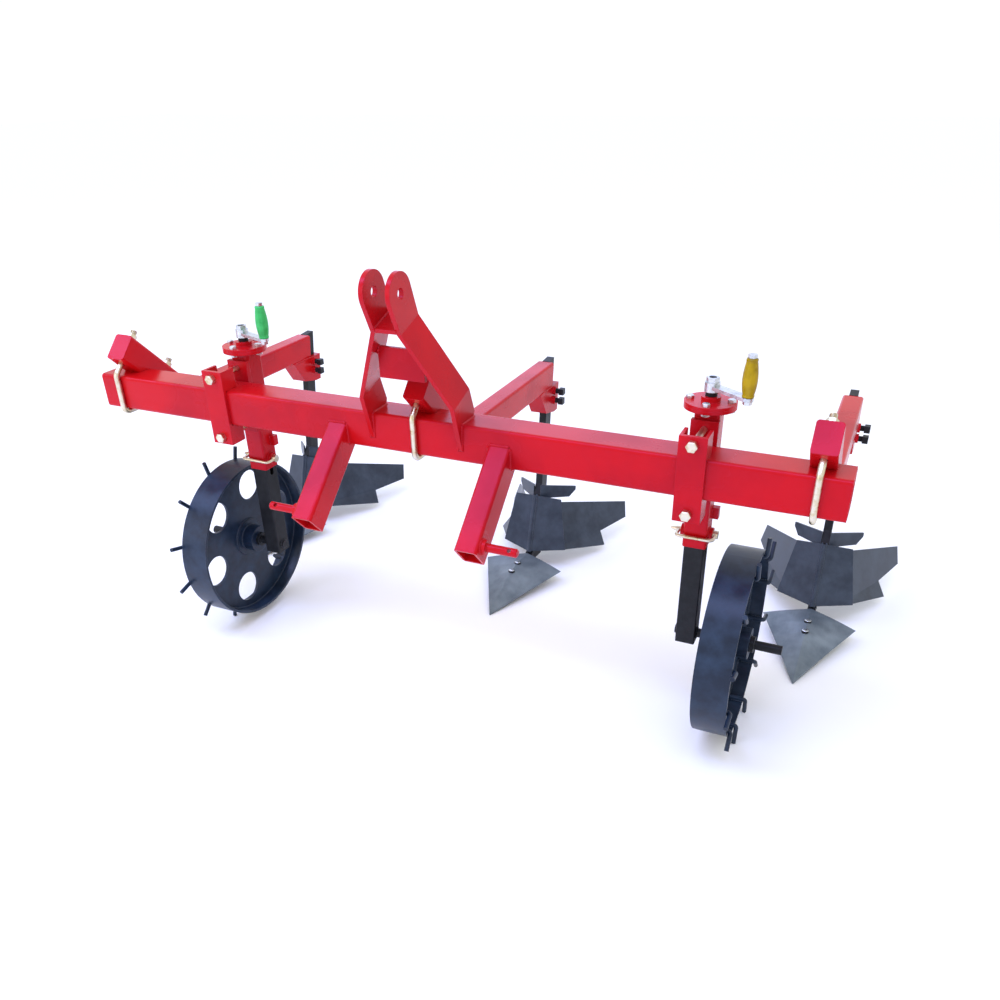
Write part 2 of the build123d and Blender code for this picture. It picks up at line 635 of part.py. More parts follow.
def build_tool(hand, row_x):
    """Ridging body: shank with frog, breast with stays, pair of wings, share and plough bolts."""
    middle = Plane.YZ.offset(row_x)
    with BuildPart() as shank:
        with BuildSketch(tool_side(row_x, 0)):
            outline((-shank_depth / 2, shank_top - shank_bevel), (shank_depth / 2, shank_top),
                    (shank_depth / 2, share_apex[1]), (0, under_share(share_apex[0]) - nose_depth),
                    (share_bolt_rear[0], under_share(share_bolt_rear[0]) - nose_depth),
                    (share_bolt_front[0], under_share(share_bolt_front[0]) - nose_depth),
                    (nose_tip, under_share(nose_tip)),
                    (share_bolt_front[0], under_share(share_bolt_front[0])),
                    (share_bolt_rear[0], under_share(share_bolt_rear[0])),
                    (share_apex[0], under_share(share_apex[0])),
                    (ridge_foot[1] + frog_behind, ridge_foot[2]), (ridge_top[1] + frog_behind, ridge_top[2]),
                    (-shank_depth / 2, stay_top))
        extrude(amount=shank_width / 2, both=True)
        for y, z in share_bolts_at:
            with BuildSketch(in_tool(row_x, (0, y, z))):
                Circle(share_bolt_radius + bore_clear)
            extrude(amount=-2 * (share_thick + nose_depth + share_bolt_radius), mode=Mode.SUBTRACT)
    save(shank, f"shank_{hand}")

    stay_dir = (cos(radians(stay_sweep)), sin(radians(stay_sweep)), 0)
    stay_face = in_tool(row_x, (stay_root[0], stay_root[1], 0), stay_dir, (-stay_dir[1], stay_dir[0], 0))
    stay_in = -stay_root[0] / stay_dir[0]
    stay_short = stay_reach - (stay_tip[1] - stay_low)
    with BuildPart() as breast:
        with BuildSketch(stay_face):
            outline((stay_in, -stay_top), (stay_reach, -stay_tip[0]), (stay_reach, -stay_tip[1]),
                    (stay_short, -stay_low), (stay_in, -stay_low - plate_thick))
        extrude(amount=plate_thick)
        with BuildSketch(in_tool(row_x)):
            Rectangle(shank_width, tool_rear)
        extrude(amount=-tool_rear, mode=Mode.SUBTRACT)
        plate(row_x, (ridge_foot, breast_foot, breast_top, ridge_top), plate_thick)
        mirror(about=middle)
        tool = in_tool(row_x)
        nose_foot = tool.from_local_coords(Vector(*ridge_foot))
        nose_run = tool.from_local_coords(Vector(*ridge_top)) - nose_foot
        rod(Plane(origin=nose_foot, z_dir=nose_run), nose_radius, nose_run.length)
    save(breast, f"breast_{hand}")

    wing_face = in_tool(row_x, wing_origin, wing_along, wing_normal)
    inner_fold = [wing_origin[i] + wing_inner * wing_along[i] + wing_inner_low * wing_rise[i]
                  for i in range(3)]
    toe_run = [wing_toe[i] - wing_origin[i] for i in range(3)]
    inner_toe = [inner_fold[i] + flap_taper * toe_run[i] for i in range(3)]
    fold_outer = [wing_origin[i] - fold_lap * toe_run[i] for i in range(3)]
    fold_inner = [inner_fold[i] - fold_lap * toe_run[i] for i in range(3)]
    strap_t = (strap_height - wing_origin[2]) / wing_up
    strap_ends = []
    for s in (wing_inner + 2 * strap_depth, wing_inner + 3 * strap_depth):
        strap_ends.append(tuple(wing_origin[i] + s * wing_along[i] + strap_t * wing_rise[i]
                                - plate_thick / 2 * wing_normal[i] for i in range(2)))
    with BuildPart() as wings:
        with BuildSketch(wing_face):
            outline((wing_inner, wing_inner_top), wing_outline_top, wing_outline_low, (0, 0),
                    (wing_inner, wing_inner_low))
        extrude(amount=-plate_thick)
        plate(row_x, (fold_outer, fold_inner, inner_toe, wing_toe), plate_thick)
        with BuildSketch(in_tool(row_x, (0, 0, strap_height))):
            outline((shank_width / 2, -strap_depth / 2), strap_ends[0], strap_ends[1],
                    (shank_width / 2, strap_depth / 2))
        extrude(amount=strap_depth / 2, both=True)
        mirror(about=middle)
    save(wings, f"wings_{hand}")

    with BuildPart() as share:
        for y in (share_apex[0] + share_trim, share_bolt_rear[0], share_bolt_front[0], share_tip[0]):
            wide, high, edge = share_section(y)
            with BuildSketch(in_tool(row_x, (0, y, 0), (1, 0, 0), (0, -1, 0))):
                narrow = share_undercut * wide
                outline((-wide, edge), (0, high), (wide, edge), (narrow, edge - share_thick),
                        (0, high - share_thick), (-narrow, edge - share_thick))
        loft(ruled=True)
        with BuildSketch(in_tool(row_x)):
            clear_x = 2 * share_corner[0]
            outline((0, share_apex[0]), (share_corner[0], share_corner[1]), (clear_x, share_corner[1]),
                    (clear_x, 0), (-clear_x, 0), (-clear_x, share_corner[1]),
                    (-share_corner[0], share_corner[1]))
        extrude(amount=2 * share_tip[1], mode=Mode.SUBTRACT)
        for y, z in share_bolts_at:
            with BuildSketch(in_tool(row_x, (0, y, z - share_head_sink))):
                Circle(share_head_radius + bore_clear)
            extrude(amount=share_thick, mode=Mode.SUBTRACT)
            with BuildSketch(in_tool(row_x, (0, y, z))):
                Circle(share_bolt_radius + bore_clear)
            extrude(amount=-2 * share_thick, mode=Mode.SUBTRACT)
    save(share, f"share_{hand}")

    with BuildPart() as share_bolts:
        for y, z in share_bolts_at:
            head = z - share_head_sink
            nut_top = under_share(y) - nose_depth
            rod(in_tool(row_x, (0, y, head)), share_head_radius, share_head_sink + share_head_proud)
            nut_foot = nut_top - share_nut_height - share_bolt_radius / 2
            rod(in_tool(row_x, (0, y, head)), share_bolt_radius, nut_foot - share_bolt_radius / 2 - head)
            hexagon(in_tool(row_x, (0, y, nut_foot)), share_nut_across, share_nut_height)
    save(share_bolts, f"share_bolts_{hand}")


for hand, row_x in (("left", -row_spacing), ("middle", 0), ("right", row_spacing)):
    build_unit(hand, row_x)
    build_tool(hand, row_x)

# Gauge wheel columns: places that both share
column_y = half + clamp_rear + jack_size / 2
jack_bore = jack_size - 2 * jack_wall
leg_size = jack_bore - 2 * gap
cap_foot = jack_top + flange_thick
cap_top = cap_foot + flange_thick
cap_boss_top = cap_top + cap_boss_height
boss_face = jack_size / 2 + lock_boss
crank_foot = cap_boss_top + gap + screw_neck
crank_top = crank_foot + crank_boss
arm_foot = crank_foot + (crank_boss - crank_arm_thick) / 2
grip_foot = arm_foot + crank_arm_thick + grip_gap
grip_top = grip_foot + grip_length
columns = (("left", column_left_x, -1, crank_left_angle), ("right", column_right_x, 1, crank_right_angle))

with BuildPart() as clamp_bolts:
    for hand, x, out, turn in columns:
        for z in (-clamp_bolt_height, clamp_bolt_height):
            web_front = facing(x, -half - clamp_web, z)
            hexagon(web_front, nut_across, nut_height)
            rod(web_front, clamp_bolt_radius, -(clamp_web + bar_size + clamp_rear - clamp_bolt_short))
save(clamp_bolts, "clamp_bolts")

with BuildPart() as cap_bolts:
    for hand, x, out, turn in columns:
        for step_x, step_y in ((-1, 0), (1, 0), (0, -1), (0, 1)):
            bolt_x = x + step_x * cap_bolt_circle
            bolt_y = column_y + step_y * cap_bolt_circle
            hexagon(level(bolt_x, bolt_y, cap_top), cap_bolt_across, cap_bolt_head)
            rod(level(bolt_x, bolt_y, cap_top), cap_bolt_radius, jack_top - cap_bolt_head - cap_top)
            hexagon(level(bolt_x, bolt_y, jack_top), cap_bolt_across, -cap_bolt_head)
save(cap_bolts, "cap_bolts")

with BuildPart() as lock_pins:
    for hand, x, out, turn in columns:
        rod(along_x(x - boss_face - lock_head, column_y, lock_height), lock_radius,
            2 * boss_face + lock_head + gap)
        rod(along_x(x + boss_face + gap, column_y, lock_height), lock_head_radius, lock_head)
        with BuildSketch(along_x(x - boss_face - lock_head, column_y, lock_height)):
            Circle(lock_radius)
        extrude(amount=-lock_tip, taper=lock_taper)
        bail_x = boss_face + gap + lock_head / 2
        bail_y = jack_size / 2 + bail_stand_off + bail_radius
        with BuildLine(level(x, column_y, lock_height)) as bail:
            FilletPolyline((bail_x, -lock_radius), (bail_x, -bail_y), (-bail_x, -bail_y),
                           (-bail_x, -lock_radius), radius=bail_bend)
        with BuildSketch(Plane(origin=bail.line @ 0, z_dir=bail.line % 0)):
            Circle(bail_radius)
        sweep()
save(lock_pins, "lock_pins")

for hand, x, out, turn in columns:
    with BuildPart() as clamp_front:
        with BuildSketch(facing(x, -half, 0)):
            Rectangle(clamp_width, clamp_height)
        extrude(amount=clamp_web)
        for flange_x in (-clamp_width / 2 + clamp_flange / 2, clamp_width / 2 - clamp_flange / 2):
            for sign in (-1, 1):
                tall = clamp_height / 2 - half
                with BuildSketch(facing(x + flange_x, -half, sign * (half + tall / 2))):
                    Rectangle(clamp_flange, tall)
                extrude(amount=-clamp_flange_depth)
        for z in (-clamp_bolt_height, clamp_bolt_height):
            drill(facing(x, -half, z), clamp_bolt_radius + bore_clear, clamp_web)
    save(clamp_front, f"clamp_front_{hand}")

    with BuildPart() as jack_tube:
        with BuildSketch(level(x, column_y, jack_foot)):
            RectangleRounded(jack_size, jack_size, jack_corner)
        extrude(amount=jack_top - jack_foot)
        with BuildSketch(facing(x, half, 0)):
            Rectangle(clamp_width, clamp_height)
        extrude(amount=-clamp_rear)
        rod(level(x, column_y, jack_top), flange_radius, flange_thick)
        rod(along_x(x - boss_face, column_y, lock_height), lock_boss_radius, 2 * boss_face)
        with BuildSketch(level(x + jack_size / 2 + lug_size[0] / 2, column_y + lug_size[1], lug_height)):
            Rectangle(lug_size[0], lug_size[1])
        extrude(amount=lug_size[2])
        with BuildSketch(level(x, column_y, jack_foot)):
            RectangleRounded(jack_bore, jack_bore, jack_corner - jack_wall)
        extrude(amount=jack_top + flange_thick - jack_foot, mode=Mode.SUBTRACT)
        drill(along_x(x - 2 * jack_size, column_y, lock_height), lock_radius + bore_clear, 4 * jack_size)
        for z in (-clamp_bolt_height, clamp_bolt_height):
            drill(facing(x, half, z), clamp_bolt_radius + bore_clear, -clamp_rear)
        for step_x, step_y in ((-1, 0), (1, 0), (0, -1), (0, 1)):
            drill(level(x + step_x * cap_bolt_circle, column_y + step_y * cap_bolt_circle, jack_top),
                  cap_bolt_radius + bore_clear, flange_thick)
    save(jack_tube, f"jack_tube_{hand}")

    with BuildPart() as jack_cap:
        rod(level(x, column_y, cap_foot), flange_radius, flange_thick)
        rod(level(x, column_y, cap_top), cap_boss_radius, cap_boss_height)
        drill(level(x, column_y, cap_foot), screw_radius + gap, flange_thick + cap_boss_height)
        for step_x, step_y in ((-1, 0), (1, 0), (0, -1), (0, 1)):
            drill(level(x + step_x * cap_bolt_circle, column_y + step_y * cap_bolt_circle, cap_foot),
                  cap_bolt_radius + bore_clear, flange_thick)
    save(jack_cap, f"jack_cap_{hand}")

    with BuildPart() as leg:
        leg_foot = axle_height - leg_below_axle
        with BuildSketch(level(x, column_y, leg_foot)):
            RectangleRounded(leg_size, leg_size, leg_corner)
        extrude(amount=leg_top - leg_foot)
        with BuildSketch(level(x, column_y, leg_foot + leg_end)):
            Rectangle(leg_size - 2 * leg_wall, leg_size - 2 * leg_wall)
        extrude(amount=leg_top - leg_nut - leg_foot - leg_end, mode=Mode.SUBTRACT)
        drill(level(x, column_y, leg_top - leg_nut), screw_radius + gap, leg_nut)
        slot_low = lock_height - leg_up - lock_radius - slot_clear
        slot_high = lock_height + leg_down + lock_radius + slot_clear
        with BuildSketch(along_x(x, column_y, (slot_low + slot_high) / 2)):
            SlotOverall(slot_high - slot_low, 2 * (lock_radius + slot_clear), rotation=90)
        extrude(amount=leg_size, both=True, mode=Mode.SUBTRACT)
        drill(along_x(x - leg_size, column_y, axle_height), axle_radius + bore_clear, 2 * leg_size)
    save(leg, f"leg_{hand}")

    with BuildPart() as axle:
        rod(along_x(x - out * axle_inner, column_y, axle_height), axle_radius,
            out * (axle_inner + axle_outer))
        hub_inner = wheel_offset - hub_length / 2 - collar_gap
        rod(along_x(x + out * hub_inner, column_y, axle_height), collar_radius, -out * collar_width)
        hub_outer = wheel_offset + hub_length / 2 + collar_gap
        rod(along_x(x + out * hub_outer, column_y, axle_height), collar_radius, out * collar_width)
    save(axle, f"axle_{hand}")

    wheel_x = x + out * wheel_offset
    wheel_plane = Plane(origin=(wheel_x, bar_y + column_y, bar_z + axle_height), x_dir=(0, 1, 0),
                        z_dir=(out, 0, 0))
    with BuildPart() as wheel:
        section = Plane(origin=wheel_plane.origin, x_dir=(out, 0, 0), z_dir=(0, -1, 0))
        rim_bore = rim_radius - rim_wall
        axle_bore = axle_radius + running_clear
        with BuildSketch(section):
            for width, inner, outer in ((rim_width, rim_bore, rim_radius),
                                        (disc_thick, axle_bore, rim_bore + rim_wall / 2),
                                        (hub_length, axle_bore, hub_radius),
                                        (hub_flange, axle_bore, hub_flange_radius)):
                with Locations((0, out * (inner + outer) / 2)):
                    Rectangle(width, outer - inner)
        revolve(axis=Axis(wheel_plane.origin, wheel_plane.z_dir))
        with BuildSketch(wheel_plane):
            with PolarLocations(window_circle, window_count, start_angle=360 / peg_count / 2 + 90):
                Circle(window_radius)
        extrude(amount=disc_thick, both=True, mode=Mode.SUBTRACT)
    save(wheel, f"wheel_{hand}")

    with BuildPart() as pegs:
        for i in range(peg_count):
            swing = radians(360 / peg_count * (i + 0.5))
            reach = Plane(origin=wheel_plane.origin,
                          x_dir=wheel_plane.x_dir * cos(swing) + wheel_plane.y_dir * sin(swing),
                          z_dir=wheel_plane.x_dir * sin(swing) - wheel_plane.y_dir * cos(swing))
            root_r = rim_radius - rim_wall - peg_radius
            out_z = rim_width / 2 + peg_bend
            with BuildLine(reach) as bent:
                FilletPolyline((root_r, out_z - peg_tail), (root_r, out_z), (peg_tip, out_z),
                               radius=peg_bend)
            with BuildSketch(Plane(origin=bent.line @ 0, z_dir=bent.line % 0)):
                Circle(peg_radius)
            sweep()
    save(pegs, f"pegs_{hand}")

    with BuildPart() as screw:
        rod(level(x, column_y, screw_foot), screw_radius, crank_foot - screw_foot)
        rod(level(x, column_y, cap_foot - gap), screw_collar_radius, -screw_collar)
        rod(level(x, column_y, cap_boss_top + gap), screw_neck_radius, screw_neck)
        rod(level(x, column_y, crank_foot), screw_end_radius, crank_boss + crank_nut / 2)
    save(screw, f"screw_{hand}")

    grip_x = x + crank_radius * cos(radians(turn))
    grip_y = column_y + crank_radius * sin(radians(turn))
    with BuildPart() as crank:
        with BuildSketch(level(x, column_y, arm_foot)):
            with Locations(((grip_x - x) / 2, (grip_y - column_y) / 2)):
                SlotCenterToCenter(crank_radius, crank_arm_width, rotation=turn)
        extrude(amount=crank_arm_thick)
        rod(level(x, column_y, crank_foot), crank_boss_radius, crank_boss)
        drill(level(x, column_y, crank_foot), screw_end_radius + bore_clear, crank_boss)
        hexagon(level(x, column_y, crank_top), crank_nut_across, crank_nut, screw_end_radius + bore_clear)
        rod(level(grip_x, grip_y, arm_foot), grip_bolt_radius,
            grip_top + grip_gap + grip_bolt_head - arm_foot)
        hexagon(level(grip_x, grip_y, arm_foot), grip_bolt_across, -grip_bolt_head)
        hexagon(level(grip_x, grip_y, grip_top + grip_gap), grip_bolt_across, grip_bolt_head)
    save(crank, f"crank_{hand}")

    with BuildPart() as grip:
        with BuildSketch(Plane(origin=(grip_x, bar_y + grip_y, bar_z), x_dir=(1, 0, 0), z_dir=(0, -1, 0))):
            outline((grip_bolt_radius + gap, grip_foot), (grip_end_radius, grip_foot),
                    (grip_neck_radius, grip_foot + grip_lip),
                    (grip_belly_radius, grip_foot + grip_belly_height),
                    (grip_neck_radius, grip_top - grip_lip), (grip_end_radius, grip_top),
                    (grip_bolt_radius + gap, grip_top))
        revolve(axis=Axis((grip_x, bar_y + grip_y, bar_z), (0, 0, 1)))
    save(grip, f"grip_{hand}")
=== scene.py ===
import bpy
from math import cos, pi, radians, sin, sqrt
from mathutils import Matrix, Vector


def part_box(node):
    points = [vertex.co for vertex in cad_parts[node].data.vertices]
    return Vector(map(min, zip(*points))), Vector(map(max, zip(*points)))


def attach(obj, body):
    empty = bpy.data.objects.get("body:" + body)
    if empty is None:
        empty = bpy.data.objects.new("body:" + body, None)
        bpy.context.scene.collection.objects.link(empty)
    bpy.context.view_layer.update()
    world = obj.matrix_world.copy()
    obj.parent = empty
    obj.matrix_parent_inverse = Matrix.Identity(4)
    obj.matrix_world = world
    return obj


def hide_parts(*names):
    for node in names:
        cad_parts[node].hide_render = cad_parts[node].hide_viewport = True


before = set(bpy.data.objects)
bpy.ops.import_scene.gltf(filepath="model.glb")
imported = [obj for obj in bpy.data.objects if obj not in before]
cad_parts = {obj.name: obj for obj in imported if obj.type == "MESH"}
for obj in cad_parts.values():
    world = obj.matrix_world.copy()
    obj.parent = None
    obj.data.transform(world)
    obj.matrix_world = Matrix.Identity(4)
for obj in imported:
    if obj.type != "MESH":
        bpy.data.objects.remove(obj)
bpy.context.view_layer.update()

# Toolbar: one length of cold-formed square steel tube, with a plate welded into each end.
# It is sprayed with gloss red alkyd enamel, like every welded piece of the frame.
MM = 0.001
HANDS = {"left": -1, "right": 1}
BAR_HALF = 50
END_PLATE = 1061
END_PLATE_HALF = 40
END_PLATE_SEAM = 43
RED_FULL = "#c00f14"
RED_THIN = "#a80e18"
RED_EDGE = "#d4384a"
RED_SHEEN = "#ffaad8"
ORANGE_PEEL = 4 * MM  # coarser than the real peel, so that it shows
PAINT_CLOUD = 180 * MM
SHEET_WAVE = 95 * MM
EDGE_RUB = 22 * MM
RIPPLE = 5.0 * MM
RIPPLE_LENGTH = 2.2  # of its spacing, so that ripples overlap
RIPPLE_HEIGHT = 0.75  # of its width
RIPPLE_LEAN = radians(20)
FINE_WELD = 6 * MM
FULL_WELD = 9 * MM
bar_low, bar_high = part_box("toolbar")
bar_middle = (Vector(bar_low) + Vector(bar_high)) / 2


def at(x, y, z):
    """A place in millimetres from the toolbar's middle."""
    return bar_middle + Vector((x, y, z)) * MM


def linear(colour):
    """A hex sRGB colour as linear red, green, blue and alpha."""
    parts = [int(colour[i:i + 2], 16) / 255 for i in (1, 3, 5)]
    return [p / 12.92 if p <= 0.04045 else ((p + 0.055) / 1.055) ** 2.4 for p in parts] + [1.0]


def add_node(tree, kind, inputs=None, **settings):
    """A shader node with its settings, values and links."""
    made = tree.nodes.new(kind)
    for name, value in settings.items():
        setattr(made, name, value)
    for socket, value in (inputs or {}).items():
        if isinstance(value, bpy.types.NodeSocket):
            tree.links.new(value, made.inputs[socket])
        else:
            made.inputs[socket].default_value = value
    return made


def new_finish(name):
    """An empty material with its tree, its shader and its object coordinates."""
    finish = bpy.data.materials.new(name)
    finish.use_nodes = True
    tree = finish.node_tree
    place = add_node(tree, "ShaderNodeTexCoord").outputs["Object"]
    return finish, tree, tree.nodes["Principled BSDF"], place


def cover(finish, *names):
    """Give CAD nodes a finish."""
    for name in names:
        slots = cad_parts[name].data.materials
        slots.clear()
        slots.append(finish)


def red_enamel():
    """Sprayed alkyd enamel: wet gloss over orange peel, clouded where thin, edges rubbed pale."""
    finish, tree, shader, place = new_finish("red_alkyd_enamel")
    cloud = add_node(tree, "ShaderNodeTexNoise", {
        "Vector": place, "Scale": 1 / PAINT_CLOUD, "Detail": 4.0})
    coat = add_node(tree, "ShaderNodeValToRGB", {"Fac": cloud.outputs["Fac"]})
    coat.color_ramp.elements[0].position = 0.32
    coat.color_ramp.elements[0].color = linear(RED_THIN)
    coat.color_ramp.elements[1].position = 0.6
    coat.color_ramp.elements[1].color = linear(RED_FULL)
    round_edge = add_node(tree, "ShaderNodeBevel", {"Radius": 1.8 * MM}, samples=4)
    flat = add_node(tree, "ShaderNodeNewGeometry")
    turned_away = add_node(tree, "ShaderNodeVectorMath", {
        0: round_edge.outputs["Normal"], 1: flat.outputs["Normal"]}, operation="DOT_PRODUCT")
    rub = add_node(tree, "ShaderNodeTexNoise", {
        "Vector": place, "Scale": 1 / EDGE_RUB, "Detail": 5.0, "Roughness": 0.7})
    edge = add_node(tree, "ShaderNodeMapRange", {
        "Value": turned_away.outputs["Value"], "From Min": 0.99, "From Max": 0.86})
    worn = add_node(tree, "ShaderNodeMath", {
        0: edge.outputs["Result"], 1: rub.outputs["Fac"]}, operation="MULTIPLY")
    colour = add_node(tree, "ShaderNodeMix", {
        "Factor": worn.outputs["Value"], "A": coat.outputs["Color"], "B": linear(RED_EDGE)},
        data_type="RGBA")
    tree.links.new(colour.outputs["Result"], shader.inputs["Base Color"])
    dull = add_node(tree, "ShaderNodeMapRange", {
        "Value": cloud.outputs["Fac"], "From Min": 0.3, "From Max": 0.7,
        "To Min": 0.32, "To Max": 0.2})
    tree.links.new(dull.outputs["Result"], shader.inputs["Roughness"])
    wave = add_node(tree, "ShaderNodeTexNoise", {
        "Vector": place, "Scale": 1 / SHEET_WAVE, "Detail": 1.0})
    sheet = add_node(tree, "ShaderNodeBump", {
        "Height": wave.outputs["Fac"], "Strength": 0.3, "Distance": 1.0 * MM,
        "Normal": round_edge.outputs["Normal"]})
    peel = add_node(tree, "ShaderNodeTexNoise", {
        "Vector": place, "Scale": 1 / ORANGE_PEEL, "Detail": 2.0})
    skin = add_node(tree, "ShaderNodeBump", {
        "Height": peel.outputs["Fac"], "Strength": 0.25, "Distance": 0.12 * MM,
        "Normal": sheet.outputs["Normal"]})
    tree.links.new(skin.outputs["Normal"], shader.inputs["Normal"])
    shader.inputs["Specular IOR Level"].default_value = 0.26
    shader.inputs["Specular Tint"].default_value = linear(RED_SHEEN)
    return finish


enamel = red_enamel()
cover(enamel, "toolbar", "toolbar_caps")


def dress(piece, name, body, finish):
    """Name a finished piece, give it its finish, and let it ride on its body."""
    piece.name = name
    piece.data.name = name
    piece.data.materials.clear()
    piece.data.materials.append(finish)
    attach(piece, body)


def copy_to(piece, name, offset, body):
    """A second piece like the first, with its own mesh, moved by an offset in metres."""
    twin = piece.copy()
    twin.data = piece.data.copy()
    bpy.context.scene.collection.objects.link(twin)
    twin.data.transform(Matrix.Translation(offset))
    twin.name = name
    twin.data.name = name
    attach(twin, body)


def ripple(length, width):
    """One frozen ripple of a weld: a flattened ball that leans back along the run."""
    size = (RIPPLE_LENGTH * length, width, RIPPLE_HEIGHT * width)
    bpy.ops.object.select_all(action="DESELECT")
    bpy.ops.mesh.primitive_uv_sphere_add(segments=10, ring_count=6, radius=0.5)
    bpy.ops.object.mode_set(mode="EDIT")
    bpy.ops.transform.resize(value=size, center_override=(0, 0, 0))
    bpy.ops.transform.rotate(value=RIPPLE_LEAN, orient_axis="Y", center_override=(0, 0, 0))
    bpy.ops.object.mode_set(mode="OBJECT")
    bpy.ops.object.shade_smooth()
    return bpy.context.object


def stand(piece, place, along, face):
    """Put a piece at a place, its x along a run and its z out of the face, as part of its mesh."""
    out = (face - along * face.dot(along)).normalized()
    turn = Matrix((along, out.cross(along), out)).transposed().to_4x4()
    piece.matrix_world = Matrix.Translation(place) @ turn
    bpy.ops.object.transform_apply(location=True, rotation=True, scale=True)


def weld(name, body, start, end, face, width=FULL_WELD, finish=enamel):
    """A straight fillet weld: one ripple repeated from start to end."""
    run = end - start
    count = max(3, round(run.length / RIPPLE))
    bead = ripple(RIPPLE, width)
    row = bead.modifiers.new("row", "ARRAY")
    row.count = count
    row.use_relative_offset = False
    row.use_constant_offset = True
    row.constant_offset_displace = (run.length / (count - 1), 0, 0)
    bpy.ops.object.modifier_apply(modifier="row")
    stand(bead, start, run.normalized(), Vector(face))
    dress(bead, name, body, finish)
    return bead


for hand, sign in HANDS.items():
    for place, y, z in (("front", -1, 0), ("rear", 1, 0), ("top", 0, 1), ("bottom", 0, -1)):
        seam_y, seam_z = END_PLATE_SEAM * y, END_PLATE_SEAM * z
        reach_y, reach_z = END_PLATE_HALF * z, END_PLATE_HALF * y
        weld(f"end_plate_weld_{hand}_{place}", "frame",
             at(sign * END_PLATE, seam_y - reach_y, seam_z - reach_z),
             at(sign * END_PLATE, seam_y + reach_y, seam_z + reach_z), (sign, -y, -z), FINE_WELD)

# Mast: two flame-cut plates, folded twice on a press brake, with a web and a cross plate between.
# Their feet and pointed fins are fillet welded to the toolbar's top and front before painting.
EAR_INNER = 29
FOOT_INNER = 123
PLATE = 12
FIN_FOOT = -14
FOOT_REAR = 19
FOOT_WELD_IN = 6
WEB_FRONT = (-153.2, 299.5)
WEB_REAR = (-65.9, 328.7)
WEB_UP = (-0.317, 0.948)
CROSS_FACE = -92
CROSS_TOP = (59.4, 241)
CROSS_LOW = (62.5, 226)
MEDIUM_WELD = 8 * MM
cover(enamel, "mast_plate_left", "mast_plate_right", "mast_spacer", "mast_cross_plate")
for hand, sign in HANDS.items():
    for place, x, out in (("inner", FOOT_INNER, -1), ("outer", FOOT_INNER + PLATE, 1)):
        weld(f"mast_foot_weld_{hand}_{place}", "frame",
             at(sign * x, -BAR_HALF + FOOT_WELD_IN, BAR_HALF),
             at(sign * x, FOOT_REAR, BAR_HALF), (sign * out, 0, 1))
        weld(f"mast_fin_weld_{hand}_{place}", "frame",
             at(sign * x, -BAR_HALF, BAR_HALF - FOOT_WELD_IN),
             at(sign * x, -BAR_HALF, FIN_FOOT), (sign * out, -1, 0))
    weld(f"mast_web_weld_{hand}", "frame", at(sign * EAR_INNER, *WEB_FRONT),
         at(sign * EAR_INNER, *WEB_REAR), (-sign, *WEB_UP), MEDIUM_WELD)
    weld(f"mast_cross_weld_{hand}", "frame", at(sign * CROSS_TOP[0], CROSS_FACE, CROSS_TOP[1]),
         at(sign * CROSS_LOW[0], CROSS_FACE, CROSS_LOW[1]), (0, -1, 0), MEDIUM_WELD)

# Hitch arms: rectangular tubes coped over the toolbar's lower front edge, with lower-link pins.
# The copes are welded all round, the turned pins go through both walls and are welded, and all
# is painted.
HITCH_X = 237
HITCH_HALF = 30
HITCH_CORNER = 7
BAR_CORNER = 8
COPE_TOP = 10.6
COPE_REAR = -0.8
PIN_PLACE = (-221, -181)
PIN_COLLAR = 19
SLOPE = radians(42)
LIGHT_WELD = 7 * MM
cover(enamel, "hitch_arm_left", "hitch_arm_right", "hitch_pins")


def ring_weld(name, body, centre, axis, radius, face, width, finish=enamel):
    """A weld round a circle: one ripple turned about the circle's axis."""
    axis = Vector(axis)
    side = axis.orthogonal().normalized()
    run = axis.cross(side)
    count = round(2 * pi * radius * MM / RIPPLE)
    bead = ripple(RIPPLE, width)
    stand(bead, centre + side * radius * MM, run, Vector(face) + side)
    bpy.ops.object.mode_set(mode="EDIT")
    bpy.ops.mesh.select_all(action="SELECT")
    bpy.ops.mesh.spin(steps=count - 1, dupli=True, angle=2 * pi * (count - 1) / count,
                      center=centre, axis=axis)
    bpy.ops.object.mode_set(mode="OBJECT")
    dress(bead, name, body, finish)
    return bead


for hand, sign in HANDS.items():
    x = sign * HITCH_X
    reach = HITCH_HALF - HITCH_CORNER
    weld(f"hitch_top_weld_{hand}", "frame", at(x - reach, -BAR_HALF, COPE_TOP),
         at(x + reach, -BAR_HALF, COPE_TOP), (0, -sin(SLOPE) - 1, cos(SLOPE)))
    weld(f"hitch_rear_weld_{hand}", "frame", at(x - reach, COPE_REAR, -BAR_HALF),
         at(x + reach, COPE_REAR, -BAR_HALF), (0, sin(SLOPE), -1 - cos(SLOPE)))
    for place, out in HANDS.items():
        edge = x + out * HITCH_HALF
        weld(f"hitch_front_weld_{hand}_{place}", "frame",
             at(edge, -BAR_HALF, COPE_TOP - HITCH_CORNER),
             at(edge, -BAR_HALF, BAR_CORNER - BAR_HALF), (out, -1, 0))
        weld(f"hitch_under_weld_{hand}_{place}", "frame",
             at(edge, BAR_CORNER - BAR_HALF, -BAR_HALF),
             at(edge, COPE_REAR - HITCH_CORNER, -BAR_HALF), (out, 0, -1))
    ring_weld(f"hitch_pin_weld_{hand}", "frame", at(sign * (HITCH_X + HITCH_HALF), *PIN_PLACE),
              (sign, 0, 0), PIN_COLLAR, (sign, 0, 0), LIGHT_WELD)

